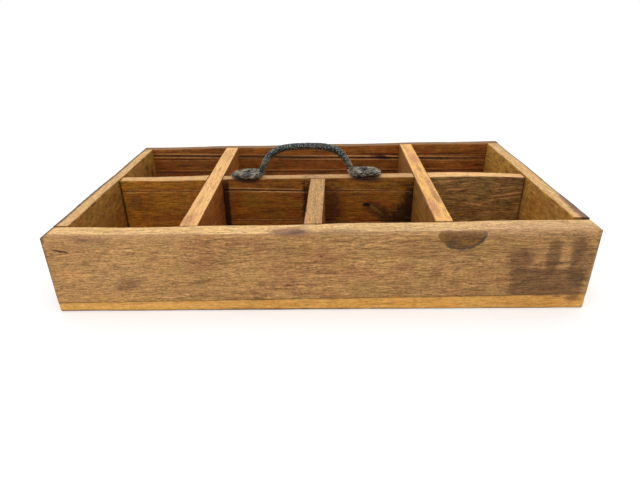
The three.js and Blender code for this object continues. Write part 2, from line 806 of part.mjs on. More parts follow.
// Geometry of a piece with the holes of its fasteners cut out
function drilled(piece) {
  if (!piece.tools || piece.tools.length === 0) {
    return welded(piece.geometry());
  }
  let solid = toSolid(piece.geometry());
  for (const tool of piece.tools) {
    solid = solid.subtract(toSolid(tool));
  }
  const mesh = solid.getMesh();
  const geometry = new THREE.BufferGeometry();
  geometry.setAttribute('position', new THREE.Float32BufferAttribute(mesh.vertProperties, 3));
  geometry.setIndex(new THREE.Uint32BufferAttribute(mesh.triVerts, 1));
  return geometry;
}

const tray = new THREE.Group();
for (const piece of [...boards, ...planks, handle, ...fasteners]) {
  const geometry = drilled(piece);
  geometry.computeVertexNormals();
  const mesh = new THREE.Mesh(geometry, new THREE.MeshStandardMaterial(piece.finish));
  mesh.name = piece.name;
  tray.add(mesh);
}

export default tray;
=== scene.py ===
# Divided wooden tray with a forged bow handle, dressed around its CAD frame.
# Sizes are in millimetres and turn into metres only where a mesh is made. The long front wall
# faces -Y, +Z is up, and the origin is on the table under the middle of the tray.
import logging
import math
from collections.abc import Callable, Iterable, Mapping, Sequence
from dataclasses import dataclass, field
from enum import Enum
from itertools import product
from typing import Any, Union

import bpy
import numpy as np
from mathutils import Matrix, Vector


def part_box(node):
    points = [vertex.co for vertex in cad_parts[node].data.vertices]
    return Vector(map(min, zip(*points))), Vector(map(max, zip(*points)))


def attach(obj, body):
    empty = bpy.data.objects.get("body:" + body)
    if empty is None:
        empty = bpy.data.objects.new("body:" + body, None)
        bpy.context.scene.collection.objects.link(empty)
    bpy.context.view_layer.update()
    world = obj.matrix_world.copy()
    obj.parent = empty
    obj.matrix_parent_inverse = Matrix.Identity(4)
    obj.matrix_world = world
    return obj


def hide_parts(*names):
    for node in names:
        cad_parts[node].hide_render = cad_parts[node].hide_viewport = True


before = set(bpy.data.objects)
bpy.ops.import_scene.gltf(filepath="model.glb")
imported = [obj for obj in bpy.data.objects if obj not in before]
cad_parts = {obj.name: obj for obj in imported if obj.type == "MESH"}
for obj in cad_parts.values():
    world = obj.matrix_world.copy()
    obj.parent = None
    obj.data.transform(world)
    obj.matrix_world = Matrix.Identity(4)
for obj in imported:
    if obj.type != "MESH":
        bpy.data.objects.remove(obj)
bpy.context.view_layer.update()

LOG = logging.getLogger("tray")
MM = 0.001

Array = np.ndarray
Pair = tuple[float, float]
Triple = tuple[float, float, float]
Colour = tuple[float, float, float, float]
Face = tuple[int, ...]
Curve = Callable[[Array], Array]
Rise = Callable[[Array, Array], Array]
Value = Union["Link", float, Sequence[float]]


def paint(red: int, green: int, blue: int) -> Colour:
    """Colour for a shader from the eight-bit values in which it is usually written.

    Args:
        red: Red from 0 to 255.
        green: Green from 0 to 255.
        blue: Blue from 0 to 255.

    Returns:
        The same colour in linear light, with full alpha.
    """
    shares = [level / 255 for level in (red, green, blue)]
    linear = [s / 12.92 if s <= 0.04045 else ((s + 0.055) / 1.055) ** 2.4 for s in shares]
    return (linear[0], linear[1], linear[2], 1.0)


def smooth(low: float, high: float, value: Array) -> Array:
    """Soft step.

    Args:
        low: Value at which the step starts.
        high: Value at which the step ends.
        value: Values to put through it.

    Returns:
        0 before the step, 1 after it and a smooth rise between.
    """
    share = np.clip((value - low) / (high - low), 0, 1)
    return share * share * (3 - 2 * share)


class Unevenness:
    """Smooth random field for dents and wobbles, the same in every run."""

    SIDE = 32

    def __init__(self, seed: int) -> None:
        """Fills the field.

        Args:
            seed: Number that picks the field.
        """
        self.table = np.random.default_rng(seed).uniform(-1, 1, (self.SIDE,) * 3)

    def at(self, points: Array, lengths: Triple) -> Array:
        """Reads the field.

        Args:
            points: Places, one in each row, in millimetres.
            lengths: How far apart the field's own values lie on each axis.

        Returns:
            A value from -1 to 1 for each place.
        """
        scaled = points / np.array(lengths)
        low = np.floor(scaled).astype(int)
        share = scaled - low
        share = share * share * (3 - 2 * share)
        total = np.zeros(len(points))
        for corner in product((0, 1), repeat=3):
            weight = np.prod(np.where(corner, share, 1 - share), axis=1)
            x, y, z = ((low + corner) % self.SIDE).T
            total += weight * self.table[x, y, z]
        return total


class Link:
    """A value inside a material, so that shader maths reads as plain expressions."""

    def __init__(self, recipe: "Recipe", socket: bpy.types.NodeSocket) -> None:
        """Wraps a socket.

        Args:
            recipe: Material that the socket belongs to.
            socket: Output socket that gives the value.
        """
        self.recipe = recipe
        self.socket = socket

    def __add__(self, other: Value) -> "Link":
        """Sum."""
        return self.recipe.reckon("ADD", self, other)

    def __radd__(self, other: Value) -> "Link":
        """Sum with the plain value first."""
        return self.recipe.reckon("ADD", other, self)

    def __sub__(self, other: Value) -> "Link":
        """Difference."""
        return self.recipe.reckon("SUBTRACT", self, other)

    def __rsub__(self, other: Value) -> "Link":
        """Difference with the plain value first."""
        return self.recipe.reckon("SUBTRACT", other, self)

    def __mul__(self, other: Value) -> "Link":
        """Product."""
        return self.recipe.reckon("MULTIPLY", self, other)

    def __rmul__(self, other: Value) -> "Link":
        """Product with the plain value first."""
        return self.recipe.reckon("MULTIPLY", other, self)

    def __truediv__(self, other: Value) -> "Link":
        """Quotient."""
        return self.recipe.reckon("DIVIDE", self, other)


class Recipe:
    """Node tree of one material, or of the world."""

    PLAIN = "VALUE"
    MIX_COLOURS = (6, 7)
    MIX_RESULT = 2

    def __init__(self, owner: bpy.types.Material | bpy.types.World) -> None:
        """Takes over the owner's nodes.

        Args:
            owner: New material or world.
        """
        owner.use_nodes = True
        self.owner = owner
        self.nodes = owner.node_tree.nodes
        self.links = owner.node_tree.links
        self.shader = self.nodes.get("Principled BSDF") or self.nodes["Background"]

    @classmethod
    def material(cls, name: str) -> "Recipe":
        """Starts a material."""
        return cls(bpy.data.materials.new(name))

    def feed(self, socket: bpy.types.NodeSocket, value: Value) -> None:
        """Links a value to a socket, or sets it there.

        Args:
            socket: Input socket.
            value: Link, number, vector or colour.
        """
        if isinstance(value, Link):
            self.links.new(value.socket, socket)
        elif socket.type == "VECTOR" and isinstance(value, (int, float)):
            socket.default_value = (value,) * 3
        else:
            socket.default_value = value

    def node(
        self,
        kind: str,
        settings: Mapping[str, Any] | None = None,
        values: Mapping[str | int, Value] | None = None,
        output: str | int = 0,
    ) -> Link:
        """Adds any node.

        Args:
            kind: Type of the node.
            settings: Its settings, set first.
            values: Values or links of its sockets, by name or number.
            output: Output socket to hand back.

        Returns:
            The node's output.
        """
        made = self.nodes.new(kind)
        for key, setting in (settings or {}).items():
            setattr(made, key, setting)
        for key, value in (values or {}).items():
            self.feed(made.inputs[key], value)
        return Link(self, made.outputs[output])

    def reckon(self, operation: str, first: Value, second: Value) -> Link:
        """Adds one step of maths.

        Args:
            operation: Name of the step, as the Math and Vector Math nodes call it.
            first: First value.
            second: Second value.

        Returns:
            The result, a vector where either value is a vector or a colour.
        """
        both = (first, second)
        plain = all(
            value.socket.type == self.PLAIN if isinstance(value, Link) else np.isscalar(value)
            for value in both
        )
        kind = "ShaderNodeMath" if plain else "ShaderNodeVectorMath"
        return self.node(kind, {"operation": operation}, {0: first, 1: second})

    def step(self, value: Value, low: float, high: float) -> Link:
        """Soft step from 0 at the low value to 1 at the high one, or back where low is higher."""
        settings = {"interpolation_type": "SMOOTHSTEP"}
        return self.node("ShaderNodeMapRange", settings, {0: value, 1: low, 2: high})

    def mix(self, share: Value, first: Value, second: Value, way: str = "MIX") -> Link:
        """Mixes two colours.

        Args:
            share: Share of the second colour.
            first: Colour where the share is 0.
            second: Colour where the share is 1.
            way: Blend type of the node.

        Returns:
            The mixed colour.
        """
        settings = {"data_type": "RGBA", "blend_type": way}
        colours = dict(zip(self.MIX_COLOURS, (first, second)))
        return self.node("ShaderNodeMix", settings, {0: share, **colours}, self.MIX_RESULT)

    def noise(self, place: Value, detail: float = 2.0, rough: float = 0.5, bend: float = 0.0) -> Link:
        """Noise from 0 to 1 around a half.

        Args:
            place: Place at which the noise is read, in units of its own size.
            detail: How many finer layers are added.
            rough: How strong the finer layers are.
            bend: How far the noise bends itself.

        Returns:
            The noise as a plain value.
        """
        values = {"Vector": place, "Scale": 1.0, "Detail": detail, "Roughness": rough}
        return self.node("ShaderNodeTexNoise", None, {**values, "Distortion": bend})

    def attribute(self, name: str, output: str = "Vector") -> Link:
        """Value that a mesh carries at its corners."""
        return self.node("ShaderNodeAttribute", {"attribute_name": name}, output=output)

    def length(self, vector: Link) -> Link:
        """Length of a vector."""
        return self.node("ShaderNodeVectorMath", {"operation": "LENGTH"}, {0: vector}, 1)

    def most(self, first: Value, *others: Value) -> Link:
        """The largest of some plain values."""
        for other in others:
            first = self.reckon("MAXIMUM", first, other)
        return first

    def parts(self, vector: Link) -> tuple[Link, Link, Link]:
        """Splits a vector.

        Args:
            vector: The vector.

        Returns:
            Its three plain values.
        """
        first = self.node("ShaderNodeSeparateXYZ", None, {0: vector})
        outputs = first.socket.node.outputs
        return first, Link(self, outputs[1]), Link(self, outputs[2])

    def world_mm(self) -> Link:
        """Place of the shaded point in the tray's frame, in millimetres."""
        return self.node("ShaderNodeTexCoord", output="Object") * (1 / MM)

    def finish(
        self,
        colour: Value,
        roughness: Value,
        height: Link,
        relief: float,
        fixed: Mapping[str, float] | None = None,
    ) -> bpy.types.Material:
        """Feeds the shader.

        Args:
            colour: Base colour.
            roughness: Roughness.
            height: Height of the surface's fine relief, from 0 to 1.
            relief: How high the relief stands, in millimetres.
            fixed: Values of other sockets that are the same all over.

        Returns:
            The finished material.
        """
        self.feed(self.shader.inputs["Base Color"], colour)
        self.feed(self.shader.inputs["Roughness"], roughness)
        for name, value in (fixed or {}).items():
            self.feed(self.shader.inputs[name], value)
        bump = self.node("ShaderNodeBump", None, {"Distance": relief * MM, "Height": height})
        self.feed(self.shader.inputs["Normal"], bump)
        return self.owner


class Outline(Enum):
    """Shape of a mark on the wood."""

    ROUND = "round"
    SQUARE = "square"


class Turn(Enum):
    """Axis about which a mark is turned on its face."""

    FRONT = "Y_AXIS"
    SIDE = "X_AXIS"


@dataclass(frozen=True)
class Mark:
    """Stain, streak, crack, painted shade or painted highlight on a board, placed in the tray's frame.

    The softness of its edge and its raggedness are shares of its radii, and grit is the size in
    millimetres of the ragged edge's teeth.
    """

    centre: Triple
    radii: Triple
    colour: Colour
    strength: float = 1.0
    edge: float = 0.25
    ragged: float = 0.2
    grit: float = 4.0
    turn: float = 0.0
    about: Turn = Turn.FRONT
    outline: Outline = Outline.ROUND
    way: str = "MIX"

    def distance(self, recipe: Recipe, place: Link) -> Link:
        """Distance from the mark's centre.

        Args:
            recipe: Material in which it is worked out.
            place: Place in the tray's frame, in millimetres.

        Returns:
            The distance, 1 at the mark's edge.
        """
        off = place - self.centre
        if self.turn:
            settings = {"rotation_type": self.about.value}
            angle = math.radians(self.turn)
            off = recipe.node("ShaderNodeVectorRotate", settings, {"Vector": off, "Angle": angle})
        shares = off * tuple(1 / radius for radius in self.radii)
        if self.outline is Outline.SQUARE:
            sizes = recipe.node("ShaderNodeVectorMath", {"operation": "ABSOLUTE"}, {0: shares})
            return recipe.most(*recipe.parts(sizes))
        return recipe.length(shares)

    def mask(self, recipe: Recipe, place: Link) -> Link:
        """Where the mark is.

        Args:
            recipe: Material in which it is worked out.
            place: Place in the tray's frame, in millimetres.

        Returns:
            The mark's strength inside it and 0 outside.
        """
        wobble = recipe.noise(place / self.grit, 3.0) - 0.5
        ragged = self.distance(recipe, place) + wobble * (2 * self.ragged)
        return recipe.step(ragged, 1 + self.edge, 1 - self.edge) * self.strength

    def lay(self, recipe: Recipe, place: Link, colour: Value) -> Link:
        """Lays the mark over a colour.

        Args:
            recipe: Material in which it is worked out.
            place: Place in the tray's frame, in millimetres.
            colour: Colour under the mark.

        Returns:
            The colour with the mark on it.
        """
        return recipe.mix(self.mask(recipe, place), colour, self.colour, self.way)


@dataclass(frozen=True)
class Knot(Mark):
    """Cut-off knot: flat above, blotched, and with a dark line round its lower right."""

    depth: float = 3.6
    blotch: Colour = paint(98, 66, 26)
    line_colour: Colour = paint(78, 60, 36)
    line_fade: float = 8.0

    def lay(self, recipe: Recipe, place: Link, colour: Value) -> Link:
        """Lays the knot over a colour.

        Args:
            recipe: Material in which it is worked out.
            place: Place in the tray's frame, in millimetres.
            colour: Colour under the knot.

        Returns:
            The colour with the knot on it.
        """
        wobble = recipe.noise(place / self.grit, 4.0) - 0.5
        off = self.distance(recipe, place) + wobble * (2 * self.ragged)
        x, y, z = recipe.parts(place - self.centre)
        under = recipe.step(y + wobble * 0.8, self.depth + 0.4, self.depth - 0.4)
        inside = recipe.step(off, 1 + self.edge, 1 - self.edge) * under * self.strength
        fibre = recipe.noise(place * (0.2, 1.0, 0.5), 4.0, 0.7)
        body = recipe.mix(recipe.step(fibre, 0.58, 0.4), self.colour, self.blotch)
        colour = recipe.mix(inside, colour, body)
        low_right = recipe.step(x * 0.6 - z, 0.0, self.line_fade)
        band = recipe.step(off, 0.86, 0.97) * recipe.step(off, 1.12, 1.02) * under
        return recipe.mix(band * low_right * self.strength, colour, self.line_colour)


@dataclass(frozen=True)
class WoodFinish:
    """Worn and lightly waxed wood whose grain runs along its board."""

    name: str
    light: Colour
    mid: Colour
    dark: Colour
    pale: Colour
    pale_dark: Colour
    pale_from: float = 0.6
    streak: float = 2.6
    streak_length: float = 60.0
    contrast: float = 1.0
    ring_width: float = 7.0
    ring_strength: float = 0.35
    pith: Pair = (-38.0, 30.0)
    mottle: float = 0.35
    mottle_size: float = 18.0
    grain: float = 1.5
    grain_length: float = 9.0
    grain_width: float = 1.2
    top_grain: float = 1.2
    warm: Colour = paint(176, 112, 66)
    olive: Colour = paint(140, 112, 56)
    patches: float = 0.35
    # Colour of dirty joints and of the painted shade in grooves.
    dirt_and_shade: Colour = paint(52, 33, 20)
    seam: float = 1.2
    end_grime: float = 0.8
    dirt_change: float = 0.6
    roughness: float = 0.62
    relief: float = 0.3
    shift: float = 0.0
    marks: tuple[Mark, ...] = ()

    def build(self) -> bpy.types.Material:
        """Makes the material, read from what each board's mesh carries about itself."""
        return WoodRecipe(self).layered()


class WoodRecipe(Recipe):
    """Node tree of one wood, with the noises that its layers share."""

    def __init__(self, wood: WoodFinish) -> None:
        """Starts the material.

        Args:
            wood: Finish to make.
        """
        super().__init__(bpy.data.materials.new(wood.name))
        self.wood = wood
        self.own = self.attribute("board_mm") + (wood.shift, wood.shift, 0.0)
        self.bent = self.bent_place()
        self.broad = self.noise(self.bent * self.per(wood.streak_length, wood.streak), 4.0, 0.6)
        self.fine = self.noise(self.bent * self.per(14.0, 0.7), 3.0, 0.6)
        self.mottle = self.noise(self.own / wood.mottle_size, 3.0, 0.6, 0.4)

    def layered(self) -> bpy.types.Material:
        """Lays the wood's layers over each other, marks and, last of all, dirty joints and painted
        shade in the grooves.

        Returns:
            The finished material.
        """
        wood = self.wood
        pores = self.step(self.noise(self.bent * self.per(5.0, 0.45), 1.0), 0.6, 0.75)
        topped = self.top_mask()
        colour = self.mix(topped, self.patched(self.face_colour()), self.top_colour())
        colour = self.mix(pores * 0.3, colour, wood.dark)
        world = self.world_mm()
        for mark in wood.marks:
            colour = mark.lay(self, world, colour)
        colour = self.mix(1.0, colour, self.grain_light(topped), "MULTIPLY")
        # Dirty joints, and painted shade in the grooves.
        colour = self.mix(self.dirt_and_shade_mask(), colour, wood.dirt_and_shade)
        rough = self.fine * 0.16 + self.mottle * 0.12 + (wood.roughness - 0.14)
        height = self.fine * 0.55 + self.broad * 0.35 + (1 - pores) * 0.25
        return self.finish(colour, rough, height, wood.relief, {"Specular IOR Level": 0.3})

    @staticmethod
    def per(along: float, across: float) -> Triple:
        """Scales that stretch a noise along the board."""
        return (1 / along, 1 / across, 1 / across)

    def bent_place(self) -> Link:
        """Place in the wood, bent so that the grain wanders.

        Returns:
            The bent place, in millimetres.
        """
        slow = self.noise(self.own * self.per(110.0, 30.0), 1.0) - 0.5
        quick = self.noise(self.own * self.per(26.0, 9.0) + (7.0, 3.0, 1.0), 2.0) - 0.5
        sway = slow * 14.0 + quick * 3.0
        return self.own + self.node("ShaderNodeCombineXYZ", None, {1: sway * 0.6, 2: sway})

    def ring_lines(self) -> Link:
        """Dark lines where growth rings meet the surface.

        Returns:
            1 on a line and 0 between lines.
        """
        depth, height = self.wood.pith
        off = (self.bent - (0.0, depth, height)) * (0.035, 1.0, 1.0)
        phase = self.reckon("FRACT", self.length(off) / self.wood.ring_width, 0.0)
        return self.step(phase, 0.35, 0.9) * self.step(phase, 1.0, 0.93)

    def face_colour(self) -> Link:
        """Colour of the board's faces.

        Returns:
            The colour, from its wide streaks down to its fibres.
        """
        wood = self.wood
        reach = 0.16 / wood.contrast
        colour = self.mix(self.step(self.broad, 0.5 - reach, 0.5 + reach), wood.mid, wood.light)
        layers = (
            (self.step(self.broad, 0.47, 0.47 - 1.3 * reach) * 0.8, wood.dark),
            (self.ring_lines() * wood.ring_strength, wood.dark),
            (self.step(self.mottle, 0.5, 0.72) * wood.mottle, wood.dark),
            (self.step(self.fine, 0.46, 0.3) * 0.45, wood.dark),
            (self.step(self.fine, 0.54, 0.72) * 0.4, wood.light),
        )
        for share, layer in layers:
            colour = self.mix(share, colour, layer)
        return colour

    def patched(self, face: Link) -> Link:
        """Clouds of warmer and of olive wood over a face.

        Args:
            face: Colour of the face.

        Returns:
            The clouded colour.
        """
        wood = self.wood
        warm = self.noise(self.own * self.per(31.0, 17.0) + (11.0, 4.0, 8.0), 4.0, 0.65)
        olive = self.noise(self.own * self.per(26.0, 15.0) + (3.0, 17.0, 2.0), 4.0, 0.65)
        colour = self.mix(self.step(warm, 0.48, 0.64) * wood.patches, face, wood.warm)
        return self.mix(self.step(olive, 0.5, 0.66) * wood.patches, colour, wood.olive)

    def top_colour(self) -> Link:
        """Colour of the worn top.

        Returns:
            The colour, with its darker streaks.
        """
        wood = self.wood
        streaked = self.mix(self.step(self.broad, 0.52, 0.34) * 0.7, wood.pale, wood.pale_dark)
        return self.mix(self.step(self.fine, 0.46, 0.3) * 0.5, streaked, wood.pale_dark)

    def top_mask(self) -> Link:
        """Where the top is worn pale: up-facing, and in from the front arris.

        Returns:
            The share of pale wood, uneven along its edge.
        """
        start = self.wood.pale_from
        facing = self.parts(self.node("ShaderNodeNewGeometry", output="Normal"))[2]
        wobble = self.noise(self.own * (1 / 22.0, 0.0, 0.0), 3.0, 0.6) - 0.5
        reach = self.attribute("inset_mm", "Fac") + wobble * (1.5 + 0.4 * start)
        wear = self.step(reach, start - 0.8, start + 1.0)
        return self.step(facing + self.mottle * 0.1, 0.5, 0.8) * wear

    def grain_light(self, topped: Link) -> Link:
        """How much lighter or darker the fine grain is than the wood around it.

        Args:
            topped: Share of worn top.

        Returns:
            A factor around 1.
        """
        wood = self.wood
        scales = self.per(wood.grain_length, wood.grain_width)
        grain = self.noise(self.bent * scales + (5.0, 9.0, 1.0), 3.0, 0.75)
        speck = self.noise(self.bent * self.per(2.4, 1.3), 2.0, 0.6)
        amount = topped * (wood.top_grain - wood.grain) + wood.grain
        return (grain - 0.5) * amount * 1.5 + (speck - 0.5) * amount * 0.7 + 1.0

    def dirt_and_shade_mask(self) -> Link:
        """Where the wood is darkened: dirty along the foot, at the butted ends, in nail dents and at
        the base's top, and painted shade in the grooves.

        Returns:
            The share of the dark colour.
        """
        wood = self.wood
        uneven = (self.fine - 0.5) * 2.0
        foot = self.step(self.parts(self.own)[2] + uneven, wood.seam, wood.seam - 1.0)
        from_end = self.attribute("end_mm", "Fac") + uneven * 0.6
        butt = self.step(from_end, wood.end_grime, 0.1)
        patchy = self.noise(self.own * self.per(21.0, 8.0) + (2.0, 6.0, 4.0), 2.0)
        kept = self.step(patchy, 0.3, 0.6) * wood.dirt_change + (1 - wood.dirt_change)
        return self.most(foot, butt, self.attribute("hollow", "Fac")) * kept * 0.85


@dataclass(frozen=True)
class IronFinish:
    """Forged iron with a dark skin worn brighter in flecks, and a dusty patina; painted highlights on
    the bar's sides and the feet, and painted shade in the feet's folds.
    """

    name: str
    skin: Colour
    worn: Colour
    patina: Colour
    # Colour of the painted highlights on the bar's sides and the feet.
    rim: Colour
    patina_from: float
    patina_to: float
    metallic: float = 0.6
    roughness: float = 0.42
    relief: float = 0.9

    def build(self) -> bpy.types.Material:
        """Makes the material.

        Returns:
            The iron; its patina fades out between two heights over the table.
        """
        recipe = Recipe.material(self.name)
        place = recipe.world_mm()
        scale = recipe.noise(place / 1.4, 3.0, 0.65)
        pits = recipe.noise(place / 0.9, 3.0, 0.7)
        cloud = recipe.noise(place / 6.0, 3.0, 0.6)
        fold = recipe.noise(place * (0.09, 0.34, 0.34), 3.0, 0.6, 0.8)
        height = recipe.parts(place)[2] + (cloud - 0.5) * 14.0
        low = recipe.step(height, self.patina_to, self.patina_from)
        body = recipe.mix(recipe.step(scale, 0.49, 0.64), self.skin, self.worn)
        dusted = recipe.mix(low * recipe.step(cloud, 0.4, 0.55), body, self.patina)
        # Pale flecks on the feet: painted highlights.
        pale = recipe.mix(low * recipe.step(scale, 0.55, 0.7), dusted, self.rim)
        # Dark folds in the feet: painted shade.
        crease = recipe.step(fold, 0.38, 0.46) * recipe.step(fold, 0.58, 0.5) * low
        creased = recipe.mix(crease * 0.9, pale, self.skin)
        # Painted highlight on the bar's sides that face along the tray.
        sideways = recipe.parts(recipe.node("ShaderNodeNewGeometry", output="Normal"))[0]
        edge = recipe.step(sideways * sideways, 0.55, 0.8) * (1 - low) * recipe.step(scale, 0.4, 0.5)
        highlighted = recipe.mix(edge * 0.6, creased, self.rim)
        colour = recipe.mix(recipe.step(pits, 0.45, 0.34) * 0.85, highlighted, self.skin)
        rough = scale * 0.3 + low * 0.2 + (self.roughness - 0.15)
        metal = (1 - low * 0.7) * self.metallic
        recipe.feed(recipe.shader.inputs["Metallic"], metal)
        relief = scale * 0.5 + pits * 0.4 + (1 - crease) * 0.4
        return recipe.finish(colour, rough, relief, self.relief)


@dataclass(frozen=True)
class NailFinish:
    """Nail heads, rusted and dusted to nearly the colour of the wood."""

    name: str = "nail_iron"
    rust: Colour = paint(166, 124, 76)
    iron: Colour = paint(142, 102, 62)

    def build(self) -> bpy.types.Material:
        """Makes the material.

        Returns:
            The rusty iron.
        """
        recipe = Recipe.material(self.name)
        place = recipe.world_mm()
        bloom = recipe.noise(place / 0.8, 3.0, 0.6)
        colour = recipe.mix(recipe.step(bloom, 0.4, 0.6), self.iron, self.rust)
        return recipe.finish(colour, bloom * 0.3 + 0.4, bloom, 0.15, {"Metallic": 0.0})


@dataclass(frozen=True)
class Base:
    """Wedge-shaped base: thicker at the right end than at the left."""

    length: float = 503.0
    depth: float = 301.0
    left: float = 9.7
    right: float = 15.4
    planks: tuple[str, ...] = ("front", "middle", "back")
    corner: float = 2.0
    arris: float = 1.5
    end_arris: float = 1.8
    gap: float = 0.3

    def top(self, x: Array | float) -> Array | float:
        """Height of the base's upper face at a place along the tray."""
        return self.left + (self.right - self.left) * (x / self.length + 0.5)


BASE = Base()
BUTT_GAP = 0.3
BOARD_HEIGHT = 67.0
BACK_THICKNESS = 13.0
WAVE_HEIGHT = 0.3
WAVE_LENGTH = 140.0
FRONT_Y = -BASE.depth / 2
BACK_Y = BASE.depth / 2
# Wanted grid lines lie at least this far apart, and even lines this share of a step from them.
LEAST_GAP = 0.1
CLEAR_SHARE = 0.35


class Run(Enum):
    """Which way a board runs."""

    ALONG = "along the tray"
    ACROSS = "across the tray"


class Side(Enum):
    """Face of a board: near is the front or left one."""

    NEAR = -1
    FAR = 1


@dataclass(frozen=True)
class Groove:
    """Level groove in a face, from an old beaded board."""

    level: float
    side: Side = Side.NEAR
    depth: float = 1.1
    width: float = 2.4


@dataclass
class Skin:
    """Closed box skin with grid lines on its six faces."""

    points: Array
    faces: list[Face]

    @classmethod
    def over(cls, along: Array, across: Array, up: Array) -> "Skin":
        """Lays the skin over grid lines.

        Args:
            along: Grid lines along the box.
            across: Grid lines across it.
            up: Grid lines up it.

        Returns:
            The skin, its faces pointing out.
        """
        lines = (along, across, up)
        count = [len(line) for line in lines]
        rim = np.zeros(count, bool)
        for axis in range(3):
            rim[tuple(0 if a == axis else slice(None) for a in range(3))] = True
            rim[tuple(-1 if a == axis else slice(None) for a in range(3))] = True
        number = np.full(count, -1)
        number[rim] = np.arange(rim.sum())
        grid = np.stack(np.meshgrid(*lines, indexing="ij"), axis=-1)
        faces: list[Face] = []
        for axis, end in product(range(3), (0, -1)):
            sheet = np.take(number, end, axis=axis)
            faces += sheet_faces(sheet, flip=(end == 0) != (axis == 1))
        return cls(grid[rim], faces)


def sheet_faces(sheet: Array, flip: bool = False) -> list[Face]:
    """Four-cornered faces between neighbouring points of a sheet.

    Args:
        sheet: Numbers of the points, in rows.
        flip: Whether the faces look the other way.

    Returns:
        The corners of each face.
    """
    corners = [sheet[:-1, :-1], sheet[1:, :-1], sheet[1:, 1:], sheet[:-1, 1:]]
    if flip:
        corners.reverse()
    return list(map(tuple, np.stack(corners, -1).reshape(-1, 4).tolist()))


def worn_edge(
    points: Array,
    first: int,
    second: int,
    at: tuple[Array, Array],
    side: tuple[int, int],
    radii: tuple[Array, Array],
) -> None:
    """Rounds one long edge of a skin in place.

    Args:
        points: Points of the skin.
        first: First axis across the edge.
        second: Second axis across the edge.
        at: Where the two faces stand on those axes, for each point.
        side: Which way each face looks, 1 or -1.
        radii: How far the rounding reaches along each axis, for each point.
    """
    inner = [at[k] - side[k] * radii[k] for k in (0, 1)]
    axes = (first, second)
    off = [(points[:, axis] - inner[k]) * side[k] / radii[k] for k, axis in enumerate(axes)]
    inside = (off[0] > 0) & (off[1] > 0)
    length = np.hypot(off[0], off[1])
    scale = np.where(inside, np.maximum(off[0], off[1]) / np.maximum(length, 1e-9), 1.0)
    for k, axis in enumerate(axes):
        moved = inner[k] + side[k] * off[k] * scale * radii[k]
        points[:, axis] = np.where(inside, moved, points[:, axis])


def grid_lines(low: float, high: float, step: float, extra: Iterable[float] = ()) -> Array:
    """Grid lines between two ends, with more lines where details need them.

    Args:
        low: First line.
        high: Last line.
        step: Distance between even lines.
        extra: Places of further lines.

    Returns:
        The lines in order; of two wanted lines that nearly meet, only the first is kept.
    """
    even = np.linspace(low, high, max(2, round((high - low) / step) + 1))
    kept: list[float] = []
    for x in sorted(x for x in extra if low < x < high):
        if not kept or x - kept[-1] > LEAST_GAP:
            kept.append(x)
    near = np.array(kept or [math.inf])
    spare = [x for x in even[1:-1] if np.min(np.abs(near - x)) > CLEAR_SHARE * step]
    return np.array(sorted({float(low), float(high), *kept, *spare}))


def make_piece(name: str, points: Array, faces: Sequence[Face]) -> bpy.types.Object:
    """Makes a smooth-shaded piece from points in millimetres.

    Args:
        name: Name of the piece.
        points: Points in the tray's frame.
        faces: Corners of each face.

    Returns:
        The piece, linked to the scene.
    """
    mesh = bpy.data.meshes.new(name)
    mesh.from_pydata((points * MM).tolist(), [], faces)
    mesh.validate()
    mesh.shade_smooth()
    piece = bpy.data.objects.new(name, mesh)
    bpy.context.scene.collection.objects.link(piece)
    return piece


def carry(piece: bpy.types.Object, name: str, values: Array) -> None:
    """Lets a mesh carry a value or vector at each of its points.

    Args:
        piece: Piece whose mesh carries them.
        name: Name by which a material reads them.
        values: One value, or one vector in each row, for each point.
    """
    vector = values.ndim == 2
    made = piece.data.attributes.new(name, "FLOAT_VECTOR" if vector else "FLOAT", "POINT")
    made.data.foreach_set("vector" if vector else "value", values.astype(np.float32).ravel())


def hand_over(
    piece: bpy.types.Object, material: bpy.types.Material, node: str
) -> bpy.types.Object:
    """Gives a piece its material and hands it to the frame.

    Args:
        piece: The piece, which rides on the tray.
        material: Its material.
        node: CAD node that it stands for.

    Returns:
        The same piece.
    """
    piece.data.materials.append(material)
    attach(piece, "root")
    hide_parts(node)
    return piece


def nail_names(*joints: str) -> tuple[str, ...]:
    """Nodes of the two nails in each of some joints."""
    return tuple(f"nail_{joint}_{level}" for joint in joints for level in ("low", "high"))


def nail_place(node: str) -> Triple:
    """Finds a nail in the frame.

    Args:
        node: Its CAD node.

    Returns:
        The middle of its box, in millimetres.
    """
    low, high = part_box(node)
    middle = (low + high) / 2 / MM
    return (middle.x, middle.y, middle.z)


